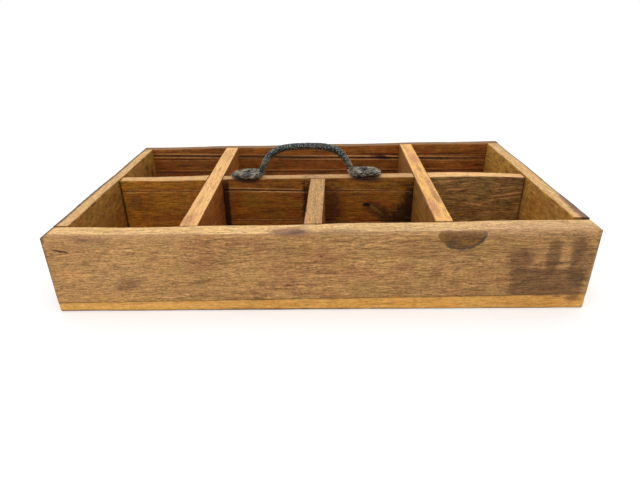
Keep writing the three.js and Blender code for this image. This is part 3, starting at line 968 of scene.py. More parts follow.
@dataclass
class Board:
    """Straight board standing on the base, with worn arrises and uneven faces."""

    name: str
    finish: WoodFinish
    slot: str
    centre: float
    thickness: Pair
    start: Curve
    end: Curve
    seed: int
    run: Run = Run.ACROSS
    lean: float = 0.0
    rise: Rise = lambda share, t: 0 * t
    arris: float = 1.2
    arris_at: Callable[[Side, Array], Array] | None = None
    bevel_at: Callable[[Side, Array], Array] | None = None
    corner: Mapping[Side, float] = field(default_factory=dict)
    grooves: tuple[Groove, ...] = ()
    nails: Mapping[Side, tuple[str, ...]] = field(default_factory=dict)
    rough: float = 0.12
    wobble: float = 0.25

    BUTTED_CORNER = 0.35
    END_ARRIS = 0.6
    LEAST_ARRIS = 0.3
    NAIL_RIM = 2.1
    NAIL_FLOOR = 1.45
    NAIL_SINK = 0.38
    ON_FACE = 1e-6
    GRID = (3.0, 2.4, 3.4)
    NAIL_LINES = (0.0, 0.8, 1.4, 1.8, 2.3)
    END_LINES = (0.4, 0.9, 1.6, 2.6, 4.0)
    FOOT_LINES = (0.5, 1.2, 2.2)
    ARRIS_LINES = (0.15, 0.35, 0.6, 0.85, 1.1, 1.5)
    GROOVE_LINES = (-0.6, -0.45, -0.2, 0, 0.2, 0.45, 0.6)
    GROOVE_FADE = 9.0
    ARRIS_SLOW = (23.0, 7.0, 7.0)
    ARRIS_QUICK = (6.0, 7.0, 7.0)
    ARRIS_CHANGE = (0.28, 0.18)
    CHIP_SIZE = (11.0, 7.0, 7.0)
    CHIP_FROM = 0.55
    CHIP_DEPTH = 3.0
    FACE_WAVE = (38.0, 30.0, 19.0)
    FACE_RIPPLE = (9.0, 30.0, 6.0)
    TOP_DIP = (31.0, 20.0, 9.0)
    TOP_NIBBLE = (8.0, 9.0, 9.0)
    GROOVE_SHADE = 0.6
    NAIL_DIRT = 0.5

    def __post_init__(self) -> None:
        """Picks the board's own unevenness."""
        self.uneven = Unevenness(self.seed)

    def middle(self, t: Array) -> Array:
        """Offset of the centre line at a place along the board."""
        reach = BASE.length if self.run is Run.ALONG else BASE.depth
        return self.centre + self.lean * t / reach

    def half(self, share: Array) -> Array:
        """Half the thickness at a share of the length."""
        first, last = self.thickness
        return (first + (last - first) * share) / 2

    def face(self, side: Side, t: Array) -> Array:
        """Where a face stands at a place along the board.

        Args:
            side: Which face.
            t: Place along the board.

        Returns:
            The face's offset across the board.
        """
        off = self.middle(t)
        first, last = self.start(off), self.end(off)
        share = np.clip((t - first) / (last - first), 0, 1)
        return off + side.value * self.half(share)

    def place(self, share: Array, across: Array, height: Array) -> Array:
        """Turns places in the board into places in the tray.

        Args:
            share: Share of the board's length.
            across: Offset from its centre line.
            height: Height over its foot.

        Returns:
            Points in the tray's frame.
        """
        rough = self.centre + across
        t = self.start(rough) + (self.end(rough) - self.start(rough)) * share
        off = self.middle(t) + across
        x, y = (t, off) if self.run is Run.ALONG else (off, t)
        return np.stack([x, y, BASE.top(x) + BUTT_GAP + height], axis=1)

    def radius(self, side: Side, share: Array, own: Array) -> Array:
        """Radius of a worn top arris, uneven along the board.

        Args:
            side: Which arris.
            share: Share of the board's length.
            own: Places in the board.

        Returns:
            The radius at each place.
        """
        size = self.arris_at(side, share) if self.arris_at else self.arris + 0 * share
        along = own * (1.0, 0.0, 0.0) + (0.0, 40.0 * side.value, 9.0)
        slow = self.uneven.at(along, self.ARRIS_SLOW)
        quick = self.uneven.at(along + 5.0, self.ARRIS_QUICK)
        chip = np.maximum(0, self.uneven.at(along + 90.0, self.CHIP_SIZE) - self.CHIP_FROM)
        change = 1 + self.ARRIS_CHANGE[0] * slow + self.ARRIS_CHANGE[1] * quick
        return np.maximum(self.LEAST_ARRIS, size * change + chip * self.CHIP_DEPTH)

    def nail_spots(self, side: Side) -> list[Pair]:
        """Finds the nail heads in a face.

        Args:
            side: Which face.

        Returns:
            Place along the board and height over its foot of each head.
        """
        spots = []
        for node in self.nails.get(side, ()):
            x, y, z = nail_place(node)
            t = x if self.run is Run.ALONG else y
            spots.append((t, z - float(BASE.top(x)) - BUTT_GAP))
        return spots

    def lines(self, length: float, first: float) -> tuple[Array, Array, Array]:
        """Grid lines of the board's skin.

        Args:
            length: Length of the board.
            first: Place of its first end.

        Returns:
            Lines along it, across it as shares of its half thickness, and up it.
        """
        spots = [spot for side in Side for spot in self.nail_spots(side)]
        near_nail = [sign * ring for ring in self.NAIL_LINES for sign in (-1, 1)]
        along = [t - first + ring for t, _ in spots for ring in near_nail]
        along += [place for end in self.END_LINES for place in (end, length - end)]
        up = [BOARD_HEIGHT - self.arris * share for share in self.ARRIS_LINES]
        up += [*self.FOOT_LINES, *(z + ring for _, z in spots for ring in near_nail)]
        for groove in self.grooves:
            level = groove.level - float(BASE.top(0.0)) - BUTT_GAP
            up += [level + groove.width * share for share in self.GROOVE_LINES]
        half = max(self.thickness) / 2
        arrises = [(half - self.arris * share) / half for share in self.ARRIS_LINES]
        along_step, across_step, up_step = self.GRID
        return (
            grid_lines(0, length, along_step, along),
            grid_lines(-1, 1, across_step / half, [sign * x for x in arrises for sign in (-1, 1)]),
            grid_lines(0, BOARD_HEIGHT, up_step, up),
        )

    def build(self) -> bpy.types.Object:
        """Makes the board.

        Returns:
            The piece, dressed, riding on the tray and standing for its CAD node.
        """
        middle = np.array([self.centre])
        first, last = float(self.start(middle)[0]), float(self.end(middle)[0])
        length = last - first
        skin = Skin.over(*self.lines(length, first))
        share = skin.points[:, 0] / length
        half = self.half(share)
        t = first + skin.points[:, 0]
        points = skin.points.copy()
        points[:, 1] *= half
        top = BOARD_HEIGHT + self.rise(share, t)
        points[:, 2] += self.groove_slope(t, points[:, 2])
        points[:, 2] *= top / BOARD_HEIGHT
        own = np.stack([t, points[:, 1], points[:, 2]], axis=1)
        hollow = self.shape(points, own, share, half, top, length)
        world = self.place(points[:, 0] / length, points[:, 1], points[:, 2])
        piece = make_piece(f"worn_{self.name}", world, skin.faces)
        self.carry_places(piece, own, share, half, length)
        carry(piece, "hollow", hollow)
        return hand_over(piece, self.finish.build(), self.name)

    def groove_slope(self, t: Array, height: Array) -> Array:
        """Shift of the grid lines that keeps grooves level while the base slopes.

        Args:
            t: Place along the board.
            height: Height over the foot.

        Returns:
            How far each point moves up.
        """
        if not self.grooves:
            return 0 * height
        drop = float(BASE.top(0.0)) - BASE.top(t)
        from_top = smooth(BOARD_HEIGHT, BOARD_HEIGHT - self.GROOVE_FADE, height)
        return drop * smooth(0, self.GROOVE_FADE, height) * from_top

    def shape(
        self, points: Array, own: Array, share: Array, half: Array, top: Array, length: float
    ) -> Array:
        """Wears and dents the skin in place.

        Args:
            points: Points of the skin, in the board's own frame.
            own: The same points before wear.
            share: Share of the board's length.
            half: Half the thickness.
            top: Height of the top.
            length: Length of the board.

        Returns:
            How dark each point is made, from 0 to 1: painted shade in the grooves and dirty nail
                dents.
        """
        zero = 0 * share
        flat_top = points[:, 2] > top - self.ON_FACE
        faces = {side: np.abs(points[:, 1] - side.value * half) < self.ON_FACE for side in Side}
        radii = {side: self.radius(side, share, own) for side in Side}
        for side in Side:
            at = (side.value * half, top)
            width = radii[side]
            if self.bevel_at:
                width = width * self.bevel_at(side, share)
            worn_edge(points, 1, 2, at, (side.value, 1), (width, radii[side]))
            for end, look in ((0.0, -1), (length, 1)):
                corner = self.corner.get(side, self.BUTTED_CORNER) + zero
                both = (zero + end, side.value * half)
                worn_edge(points, 0, 1, both, (look, side.value), (corner, corner))
        blunt = self.END_ARRIS + zero
        for end, look in ((0.0, -1), (length, 1)):
            worn_edge(points, 0, 2, (zero + end, top), (look, 1), (blunt, blunt))
        ripple = 0.4 * self.uneven.at(own + 50, self.FACE_RIPPLE)
        wave = self.uneven.at(own, self.FACE_WAVE) + ripple
        inward = self.rough * np.maximum(0, 1 + wave) / 1.4
        hollow = zero.copy()
        for side in Side:
            depth = np.where(faces[side], inward, 0)
            for groove in self.grooves:
                if groove.side is side:
                    cut = self.groove_cut(groove, own)
                    depth += np.where(faces[side], cut * groove.depth, 0)
                    # Painted shade in the groove.
                    groove_shade = smooth(0.5, 1.0, cut) * self.GROOVE_SHADE
                    hollow = np.maximum(hollow, np.where(faces[side], groove_shade, 0))
            for t, z in self.nail_spots(side):
                off = np.hypot(own[:, 0] - t, own[:, 2] - z)
                dent = smooth(self.NAIL_RIM, self.NAIL_FLOOR, off)
                depth += np.where(faces[side], dent * self.NAIL_SINK, 0)
                hollow = np.maximum(hollow, np.where(faces[side], dent * self.NAIL_DIRT, 0))
            points[:, 1] -= side.value * depth
        nibble = 0.5 * self.uneven.at(own + 70, self.TOP_NIBBLE)
        dip = self.uneven.at(own + 20, self.TOP_DIP) + nibble
        points[:, 2] -= np.where(flat_top, self.wobble * (1.5 + dip) / 3, 0)
        return hollow

    def groove_cut(self, groove: Groove, own: Array) -> Array:
        """Section of a groove.

        Args:
            groove: The groove.
            own: Places in the board.

        Returns:
            1 at its bottom and 0 outside it.
        """
        level = groove.level - BASE.top(own[:, 0]) - BUTT_GAP
        off = np.abs(own[:, 2] - level) / (groove.width / 2)
        return np.clip(1 - off, 0, 1)

    def carry_places(
        self, piece: bpy.types.Object, own: Array, share: Array, half: Array, length: float
    ) -> None:
        """Lets the mesh carry the places in the board that its wood reads.

        Args:
            piece: The board.
            own: Places in the board, in millimetres.
            share: Share of its length.
            half: Half the thickness.
            length: Length of the board.
        """
        carry(piece, "board_mm", own)
        carry(piece, "inset_mm", own[:, 1] + half)
        carry(piece, "end_mm", np.minimum(share, 1 - share) * length)


@dataclass
class BasePlanks:
    """The three lengthwise planks of the base."""

    finish: WoodFinish
    slot: str = "base_wood"
    seed: int = 71
    rough: float = 0.12
    inner_arris: float = 0.3

    GRID = (4.0, 9.0)
    END_LINES = (0.3, 0.8, 1.4, 2.2, 3.2, 4.4)
    EDGE_LINES = (0.3, 0.8, 1.5, 2.4, 3.6)
    LEVELS = (0, 0.02, 0.05, 0.1, 0.17, 0.3, 0.5, 0.7, 0.85, 1)
    ON_FACE = 1e-6
    NO_BUTT = 50.0
    EDGE_WAVE = (21.0, 9.0, 9.0)
    EDGE_CHANGE = 0.35
    FACE_WAVE = (33.0, 20.0, 5.0)
    TOP_DIRT = 0.6

    def build(self) -> list[bpy.types.Object]:
        """Makes the planks.

        Returns:
            The three pieces.
        """
        material = self.finish.build()
        return [self.plank(index, place, material) for index, place in enumerate(BASE.planks)]

    def plank(self, index: int, place: str, material: bpy.types.Material) -> bpy.types.Object:
        """Makes one plank.

        Args:
            index: Number of the plank from the front.
            place: Its name in the base.
            material: Its wood.

        Returns:
            The piece.
        """
        uneven = Unevenness(self.seed + index)
        width = BASE.depth / len(BASE.planks)
        first, last = index == 0, index == len(BASE.planks) - 1
        near = FRONT_Y + index * width + (0 if first else BASE.gap / 2)
        far = FRONT_Y + (index + 1) * width - (0 if last else BASE.gap / 2)
        half = BASE.length / 2
        ends = [sign * (half - end) for end in self.END_LINES for sign in (-1, 1)]
        edges = [place for line in self.EDGE_LINES for place in (near + line, far - line)]
        along = grid_lines(-half, half, self.GRID[0], ends)
        across = grid_lines(near, far, self.GRID[1], edges)
        skin = Skin.over(along, across, np.array(self.LEVELS))
        points = skin.points.copy()
        zero = 0 * points[:, 0]
        thickness = BASE.top(points[:, 0])
        points[:, 2] *= thickness
        own = points.copy()
        sides = {-1: points[:, 1] < near + self.ON_FACE, 1: points[:, 1] > far - self.ON_FACE}
        worn = BASE.arris * (1 + self.EDGE_CHANGE * uneven.at(own, self.EDGE_WAVE))
        for look, edge, outer in ((-1, near, first), (1, far, last)):
            arris = worn if outer else zero + self.inner_arris
            worn_edge(points, 1, 2, (zero + edge, zero), (look, -1), (arris, arris))
            corner = zero + (BASE.corner if outer else self.inner_arris)
            for end in (-1, 1):
                both = (zero + end * half, zero + edge)
                worn_edge(points, 0, 1, both, (end, look), (corner, corner))
        for end in (-1, 1):
            low = worn * BASE.end_arris / BASE.arris
            worn_edge(points, 0, 2, (zero + end * half, zero), (end, -1), (low, low))
        dent = self.rough * np.maximum(0, 1 + uneven.at(own, self.FACE_WAVE))
        for look, outer in ((-1, first), (1, last)):
            points[:, 1] -= np.where(sides[look] & outer, look * dent, 0)
        piece = make_piece(f"worn_base_plank_{place}", points, skin.faces)
        carry(piece, "board_mm", own)
        carry(piece, "inset_mm", zero)
        carry(piece, "end_mm", zero + self.NO_BUTT)
        carry(piece, "hollow", smooth(0.8, 0.1, thickness - own[:, 2]) * self.TOP_DIRT)
        return hand_over(piece, material, f"base_plank_{place}")


@dataclass
class Handle:
    """Forged bow with a hammered leaf-shaped foot at each end."""

    finish: IronFinish
    seat: Callable[[Array], Array]
    divider_y: float = 10.5
    length: float = 175.0
    x: float = -16.5
    height: float = 36.0
    bar_width: float = 8.4
    bar_thickness: float = 8.3
    leg_thickness: float = 8.0
    foot_length: float = 35.2
    foot_width: float = 27.0
    foot_thickness: float = 8.0
    dish: float = 2.6
    squareness: float = 0.62
    tip_width: float = 11.0
    tip_thickness: float = 5.0
    heel: float = 1.4
    leg_root: float = 7.0
    leaf: tuple[tuple[float, float, float, float], ...] = (
        (0.11, 0.68, 0.85, 0.4),
        (0.27, 0.86, 1.0, 1.0),
        (0.55, 0.97, 1.0, 0.0),
        (0.76, 1.0, 1.0, 0.5),
        (0.91, 0.8, 1.0, 0.0),
    )
    bow: tuple[Triple, ...] = (
        (0.9, 0.49, 1.03), (0.778, 0.73, 1.08), (0.59, 0.9, 1.08), (0.36, 0.975, 1.02)
    )
    facet_depth: float = 0.3
    lump_depth: float = 1.7
    sides: int = 36
    rings: int = 12
    seed: int = 5

    CURVE_POWER = 0.5
    FLAT_WIDTHS = (9.0, 18.0)
    SEAT_GAP = 0.05
    TROUGH_SHARE = 0.34
    FACETS = ((6.5, 5.0, 5.0), (2.6, 2.6, 2.6))
    LUMPS = ((9.0, 7.0, 40.0), (4.0, 3.4, 20.0))

    def half_bar(self) -> list[tuple[float, ...]]:
        """Stations from a foot's tip to the shoulder of the bow.

        Returns:
            Distance from the centre, height, width, thickness and dish of each.
        """
        tip = self.length / 2
        span = tip - self.foot_length
        seat = self.foot_thickness / 2
        stations = [(tip, self.tip_thickness / 2, self.tip_width, self.tip_thickness, 0.0)]
        for back, width, thickness, dish in self.leaf:
            thick = thickness * self.foot_thickness
            size = (width * self.foot_width, thick, dish * self.dish)
            stations.append((tip - back * self.foot_length, thick / 2, *size))
        leg = (self.bar_width, self.leg_thickness, 0.0)
        stations.append((span, seat + self.heel, *leg))
        stations.append((span - self.heel, seat + self.leg_root, *leg))
        for out, up, fullness in self.bow:
            thick = self.bar_thickness * fullness
            stations.append((out * span, up * self.height, self.bar_width, thick, 0.0))
        return stations

    def stations(self) -> Array:
        """Stations of the whole bar, from its left tip to its right one.

        Returns:
            Place along the tray, height over the divider, width, thickness and dish, in rows.
        """
        half = self.half_bar()
        left = [(self.x - s[0], *s[1:]) for s in half]
        right = [(self.x + s[0], *s[1:]) for s in reversed(half)]
        crown = (self.x, self.height, self.bar_width, self.bar_thickness, 0.0)
        return np.array([*left, crown, *right])

    def flowed(self, stations: Array) -> Array:
        """Smooth curve through stations, spaced so that it doesn't overshoot them.

        Args:
            stations: Stations, one in each row.

        Returns:
            The curve's rows, a fixed count for each stretch.
        """
        ends = (2 * stations[0] - stations[1], 2 * stations[-1] - stations[-2])
        all_rows = np.vstack([ends[0], stations, ends[1]])
        rows = []
        for k in range(len(stations) - 1):
            quad = all_rows[k : k + 4]
            knots = [0.0]
            for a, b in zip(quad, quad[1:]):
                apart = max(1e-4, float(np.linalg.norm(b[:2] - a[:2])))
                knots.append(knots[-1] + apart**self.CURVE_POWER)
            last = k == len(stations) - 2
            for step in np.linspace(0, 1, self.rings, endpoint=False).tolist() + [1.0] * last:
                t = knots[1] + (knots[2] - knots[1]) * step
                rows.append(self.blend(quad, knots, t))
        return np.array(rows)

    def blend(self, quad: Array, knots: Sequence[float], t: float) -> Array:
        """Point of a curve through four stations, between the second and the third.

        Args:
            quad: The four stations.
            knots: Their places on the curve.
            t: Place of the point, between the second and third knots.

        Returns:
            The point.
        """

        def between(a: Array, b: Array, start: float, end: float) -> Array:
            """Straight mix of two rows."""
            return a + (b - a) * ((t - start) / (end - start))

        first = [between(quad[i], quad[i + 1], knots[i], knots[i + 1]) for i in range(3)]
        second = [between(first[i], first[i + 1], knots[i], knots[i + 2]) for i in range(2)]
        return between(second[0], second[1], knots[1], knots[2])

    def build(self) -> bpy.types.Object:
        """Makes the handle.

        Returns:
            The piece, dressed, riding on the tray and standing for its CAD node.
        """
        uneven = Unevenness(self.seed)
        rows = self.flowed(self.stations())
        centre = np.stack([rows[:, 0], self.seat(rows[:, 0]) + rows[:, 1]], axis=1)
        run = np.gradient(centre, axis=0)
        run /= np.linalg.norm(run, axis=1)[:, None]
        up = np.stack([-run[:, 1], run[:, 0]], axis=1)
        angle = -math.pi / 2 - (np.arange(self.sides) + 0.5) * 2 * math.pi / self.sides
        cos, sin = np.cos(angle), np.sin(angle)
        points = []
        for k, (_, _, width, thickness, dish) in enumerate(rows):
            flat = float(smooth(self.bar_width, self.foot_width, np.array(width)))
            power = 1 + (self.squareness - 1) * flat
            across = width / 2 * np.sign(cos) * np.abs(cos) ** power
            lift = thickness / 2 * np.sign(sin) * np.abs(sin) ** power
            trough = np.clip(1 - (across / (self.TROUGH_SHARE * width)) ** 2, 0, 1) * (sin > 0)
            lift = lift - trough * dish
            x = centre[k, 0] + up[k, 0] * lift
            z = centre[k, 1] + up[k, 1] * lift
            points.append(np.stack([x, self.divider_y + across, z], axis=1))
        cloud = np.concatenate(points)
        cloud = self.hammer(cloud, np.repeat(centre, self.sides, axis=0), rows, uneven)
        piece = make_piece("forged_handle", cloud, self.faces(len(rows)))
        return hand_over(piece, self.finish.build(), "handle")

    def hammer(self, cloud: Array, centre: Array, rows: Array, uneven: Unevenness) -> Array:
        """Beats shallow facets and lumps into the bar, towards its centre line.

        Args:
            cloud: Points of the bar.
            centre: Point of the centre line for each.
            rows: Stations along the bar.
            uneven: Random field.

        Returns:
            The beaten points.
        """
        line = np.stack([centre[:, 0], 0 * centre[:, 0] + self.divider_y, centre[:, 1]], axis=1)
        off = cloud - line
        reach = np.linalg.norm(off, axis=1)
        flat = np.repeat(smooth(*self.FLAT_WIDTHS, rows[:, 2]), self.sides)
        large, small = self.FACETS
        facets = uneven.at(cloud, large) + 0.5 * uneven.at(cloud + 30, small)
        large, small = self.LUMPS
        lumps = uneven.at(cloud + 60, large) + 0.6 * uneven.at(cloud + 80, small)
        depth = self.facet_depth * np.maximum(0, 1.2 + facets) / 1.3
        depth += self.lump_depth * flat * np.maximum(0, lumps + 0.25)
        floor = self.seat(cloud[:, 0]) + self.SEAT_GAP
        moved = cloud - off * (depth / np.maximum(reach, 1e-6))[:, None]
        moved[:, 2] = np.maximum(moved[:, 2], floor)
        return moved

    def faces(self, count: int) -> list[Face]:
        """Faces of the bar.

        Args:
            count: Number of rings.

        Returns:
            The corners of each face, the two ends closed.
        """
        made: list[Face] = []
        for ring, j in product(range(count - 1), range(self.sides)):
            here, there = ring * self.sides, (ring + 1) * self.sides
            following = (j + 1) % self.sides
            made.append((here + j, here + following, there + following, there + j))
        last = (count - 1) * self.sides
        made.append(tuple(range(self.sides - 1, -1, -1)))
        made.append(tuple(range(last, last + self.sides)))
        return made


@dataclass
class Screws:
    """The two slotted screws of the handle."""

    material: bpy.types.Material
    nodes: tuple[str, ...] = ("handle_screw_left", "handle_screw_right")
    head: float = 3.5
    head_thickness: float = 1.7
    shank: float = 1.9
    slot_width: float = 0.9
    slot_depth: float = 0.9
    dome: float = 0.9
    turns: tuple[float, ...] = (28.0, -41.0)

    GRID = 0.09
    SLOT_LINES = (-1.25, -1.0, 1.0, 1.25)
    SLOT_EDGE = 1.1
    SLOT_REACH = 0.97
    DOME_REACH = 0.9
    POINT = 0.1

    def build(self) -> list[bpy.types.Object]:
        """Makes the screws.

        Returns:
            The two pieces.
        """
        return [self.screw(node, turn) for node, turn in zip(self.nodes, self.turns)]

    def screw(self, node: str, turn: float) -> bpy.types.Object:
        """Makes one screw where its CAD node stands.

        Args:
            node: The node.
            turn: Angle of its slot.

        Returns:
            The piece.
        """
        low, high = (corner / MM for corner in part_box(node))
        middle = (low + high) / 2
        top = self.head_top(middle, high.z, turn)
        count = math.isqrt(len(top))
        number = np.arange(len(top)).reshape(count, count)
        faces = sheet_faces(number)
        rim = [*number[:-1, 0], *number[-1, :-1], *number[:0:-1, -1], *number[0, :0:-1]]
        rings = [top]
        previous = [int(index) for index in rim]
        seat = high.z - self.head_thickness
        levels = [(1.0, seat), (self.shank / self.head, seat), (self.POINT, low.z)]
        base = len(top)
        for scale, z in levels:
            ring = top[rim].copy()
            ring[:, 0] = middle.x + (ring[:, 0] - middle.x) * scale
            ring[:, 1] = middle.y + (ring[:, 1] - middle.y) * scale
            ring[:, 2] = z
            now = list(range(base, base + len(rim)))
            for k, here in enumerate(now):
                following = (k + 1) % len(now)
                faces.append((previous[following], previous[k], here, now[following]))
            rings.append(ring)
            previous = now
            base += len(rim)
        faces.append(tuple(reversed(previous)))
        piece = make_piece(f"slotted_{node}", np.concatenate(rings), faces)
        return hand_over(piece, self.material, node)

    def head_top(self, middle: Vector, crown: float, turn: float) -> Array:
        """Domed top of a head, with its slot sunk in.

        Args:
            middle: Middle of the screw.
            crown: Height of the dome's crown.
            turn: Angle of the slot.

        Returns:
            Points of a square grid that is squeezed into a disc.
        """
        half_slot = self.slot_width / 2 / self.head
        lines = grid_lines(-1, 1, self.GRID, [half_slot * share for share in self.SLOT_LINES])
        u, v = (axis.ravel() for axis in np.meshgrid(lines, lines, indexing="ij"))
        squeeze = np.maximum(np.abs(u), np.abs(v)) / np.maximum(np.hypot(u, v), 1e-9)
        px, py = u * squeeze, v * squeeze
        out = np.hypot(px, py)
        z = crown - self.dome * (1 - np.sqrt(np.clip(1 - self.DOME_REACH * out**2, 0, 1)))
        z -= self.slot_depth * (np.abs(py) <= half_slot * self.SLOT_EDGE) * (out < self.SLOT_REACH)
        angle = math.radians(turn)
        x = middle.x + self.head * (px * math.cos(angle) - py * math.sin(angle))
        y = middle.y + self.head * (px * math.sin(angle) + py * math.cos(angle))
        return np.stack([x, y, z], axis=1)


@dataclass
class Nails:
    """The nails, which keep the shapes of their CAD nodes."""

    finish: NailFinish = NailFinish()
    prefix: str = "nail_"

    def dress(self) -> int:
        """Gives every nail of the frame its rusty iron.

        Returns:
            How many nails there are.
        """
        material = self.finish.build()
        nails = [node for name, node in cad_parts.items() if name.startswith(self.prefix)]
        for node in nails:
            node.data.materials.clear()
            node.data.materials.append(material)
        return len(nails)


def edge_wave(t: Array, phase: float) -> Array:
    """Slow unevenness of a top edge."""
    return WAVE_HEIGHT * np.sin(2 * math.pi * t / WAVE_LENGTH + phase)


@dataclass(frozen=True)
class Studio:
    """White floor, soft light and the camera."""

    eye: Triple = (1.8, -543.4, 270.3)
    pitch: float = 26.43
    yaw: float = -0.29
    roll: float = 0.57
    focal_px: float = 490.2
    image_width: float = 640.0
    sensor: float = 36.0
    floor_half: float = 6000.0
    floor_drop: float = 0.2
    floor_colour: Colour = (0.8, 0.8, 0.8, 1.0)
    floor_glow: float = 0.36
    sky: float = 0.84
    lamp_power: float = 4.5
    lamp_size: float = 1.5
    lamp_place: Triple = (0.0, -300.0, 1500.0)

    SEEN_RAYS = ("Is Camera Ray", "Is Glossy Ray", "Is Transmission Ray")
    NEAREST = 0.01
    FARTHEST = 50.0

    def camera(self) -> None:
        """Makes the camera at the photograph's viewing angle."""
        pitch, yaw, roll = (math.radians(a) for a in (self.pitch, self.yaw, self.roll))
        ahead = Vector((
            math.sin(yaw) * math.cos(pitch), math.cos(yaw) * math.cos(pitch), -math.sin(pitch)
        ))
        right = Vector((math.cos(yaw), -math.sin(yaw), 0))
        down = ahead.cross(right)
        level_right = right * math.cos(roll) + down * math.sin(roll)
        level_down = down * math.cos(roll) - right * math.sin(roll)
        data = bpy.data.cameras.new("camera")
        data.sensor_width = self.sensor
        data.lens = self.focal_px / self.image_width * self.sensor
        data.clip_start = self.NEAREST
        data.clip_end = self.FARTHEST
        camera = bpy.data.objects.new("camera", data)
        turn = Matrix((level_right, -level_down, -ahead)).transposed()
        camera.matrix_world = Matrix.Translation(Vector(self.eye) * MM) @ turn.to_4x4()
        bpy.context.scene.collection.objects.link(camera)
        bpy.context.scene.camera = camera

    def seen(self, recipe: Recipe) -> Link:
        """1 on rays from the eye, from mirrors and through glass, 0 on the light's own."""
        path = recipe.node("ShaderNodeLightPath").socket.node.outputs
        return recipe.most(*(Link(recipe, path[ray]) for ray in self.SEEN_RAYS))

    def floor(self) -> None:
        """Makes the white floor, which keeps the tray's shadow."""
        half = self.floor_half
        corners = np.array([[-half, -half], [half, -half], [half, half], [-half, half]])
        points = np.column_stack([corners, np.full(4, -self.floor_drop)])
        floor = make_piece("floor", points, [(0, 1, 2, 3)])
        recipe = Recipe.material("white_floor")
        looks = {
            "Base Color": self.floor_colour,
            "Roughness": 1.0,
            "Specular IOR Level": 0.0,
            "Emission Color": self.seen(recipe) * self.floor_glow,
            "Emission Strength": 1.0,
        }
        for name, value in looks.items():
            recipe.feed(recipe.shader.inputs[name], value)
        floor.data.materials.append(recipe.owner)

    def light(self) -> None:
        """Makes the white surroundings and the soft lamp overhead."""
        world = bpy.data.worlds.new("white_room")
        bpy.context.scene.world = world
        recipe = Recipe(world)
        strength = self.seen(recipe) * (1 - self.sky) + self.sky
        recipe.feed(recipe.shader.inputs["Color"], (1.0, 1.0, 1.0, 1.0))
        recipe.feed(recipe.shader.inputs["Strength"], strength)
        lamp = bpy.data.lights.new("overhead_lamp", "AREA")
        lamp.shape = "SQUARE"
        lamp.size = self.lamp_size
        lamp.energy = self.lamp_power
        holder = bpy.data.objects.new("overhead_lamp", lamp)
        holder.location = Vector(self.lamp_place) * MM
        bpy.context.scene.collection.objects.link(holder)


def bead_lines(
    middle: Pair, reach: Pair, grit: float, rows: Iterable[tuple[Any, ...]]
) -> tuple[Mark, ...]:
    """Long level lines, one above the other, on a face that looks along Y.

    Args:
        middle: Place of their middles along and across the tray.
        reach: Half their length, and how far they reach into the board.
        grit: Size of the ragged edge's teeth.
        rows: Height, half the thickness, colour, strength, softness of the edge, raggedness and
            turn of each line.

    Returns:
        The lines.
    """
    return tuple(
        Mark((*middle, level), (*reach, thin), colour, strength, edge, ragged, grit, turn,
             outline=Outline.SQUARE)
        for level, thin, colour, strength, edge, ragged, turn in rows
    )


# Colours of marks that boards share. The first two darken what is under them.
STAIN = paint(186, 180, 172)
SHADE = paint(150, 118, 92)
DARK_EDGE = paint(92, 72, 50)
# Pale saw lines, and painted highlights on the edges of grooves.
PALE_LINE_AND_HIGHLIGHT = paint(206, 150, 90)
# Dark stains and pits, and painted shade in grooves, corners and gaps.
PIT_DARK_AND_SHADE = paint(34, 18, 12)
# Painted contact shadow.
CONTACT_SHADOW = paint(84, 50, 28)
# Middle of the smears on the front wall's top, just behind its worn arris.
SMEAR_Y = FRONT_Y + 7.4
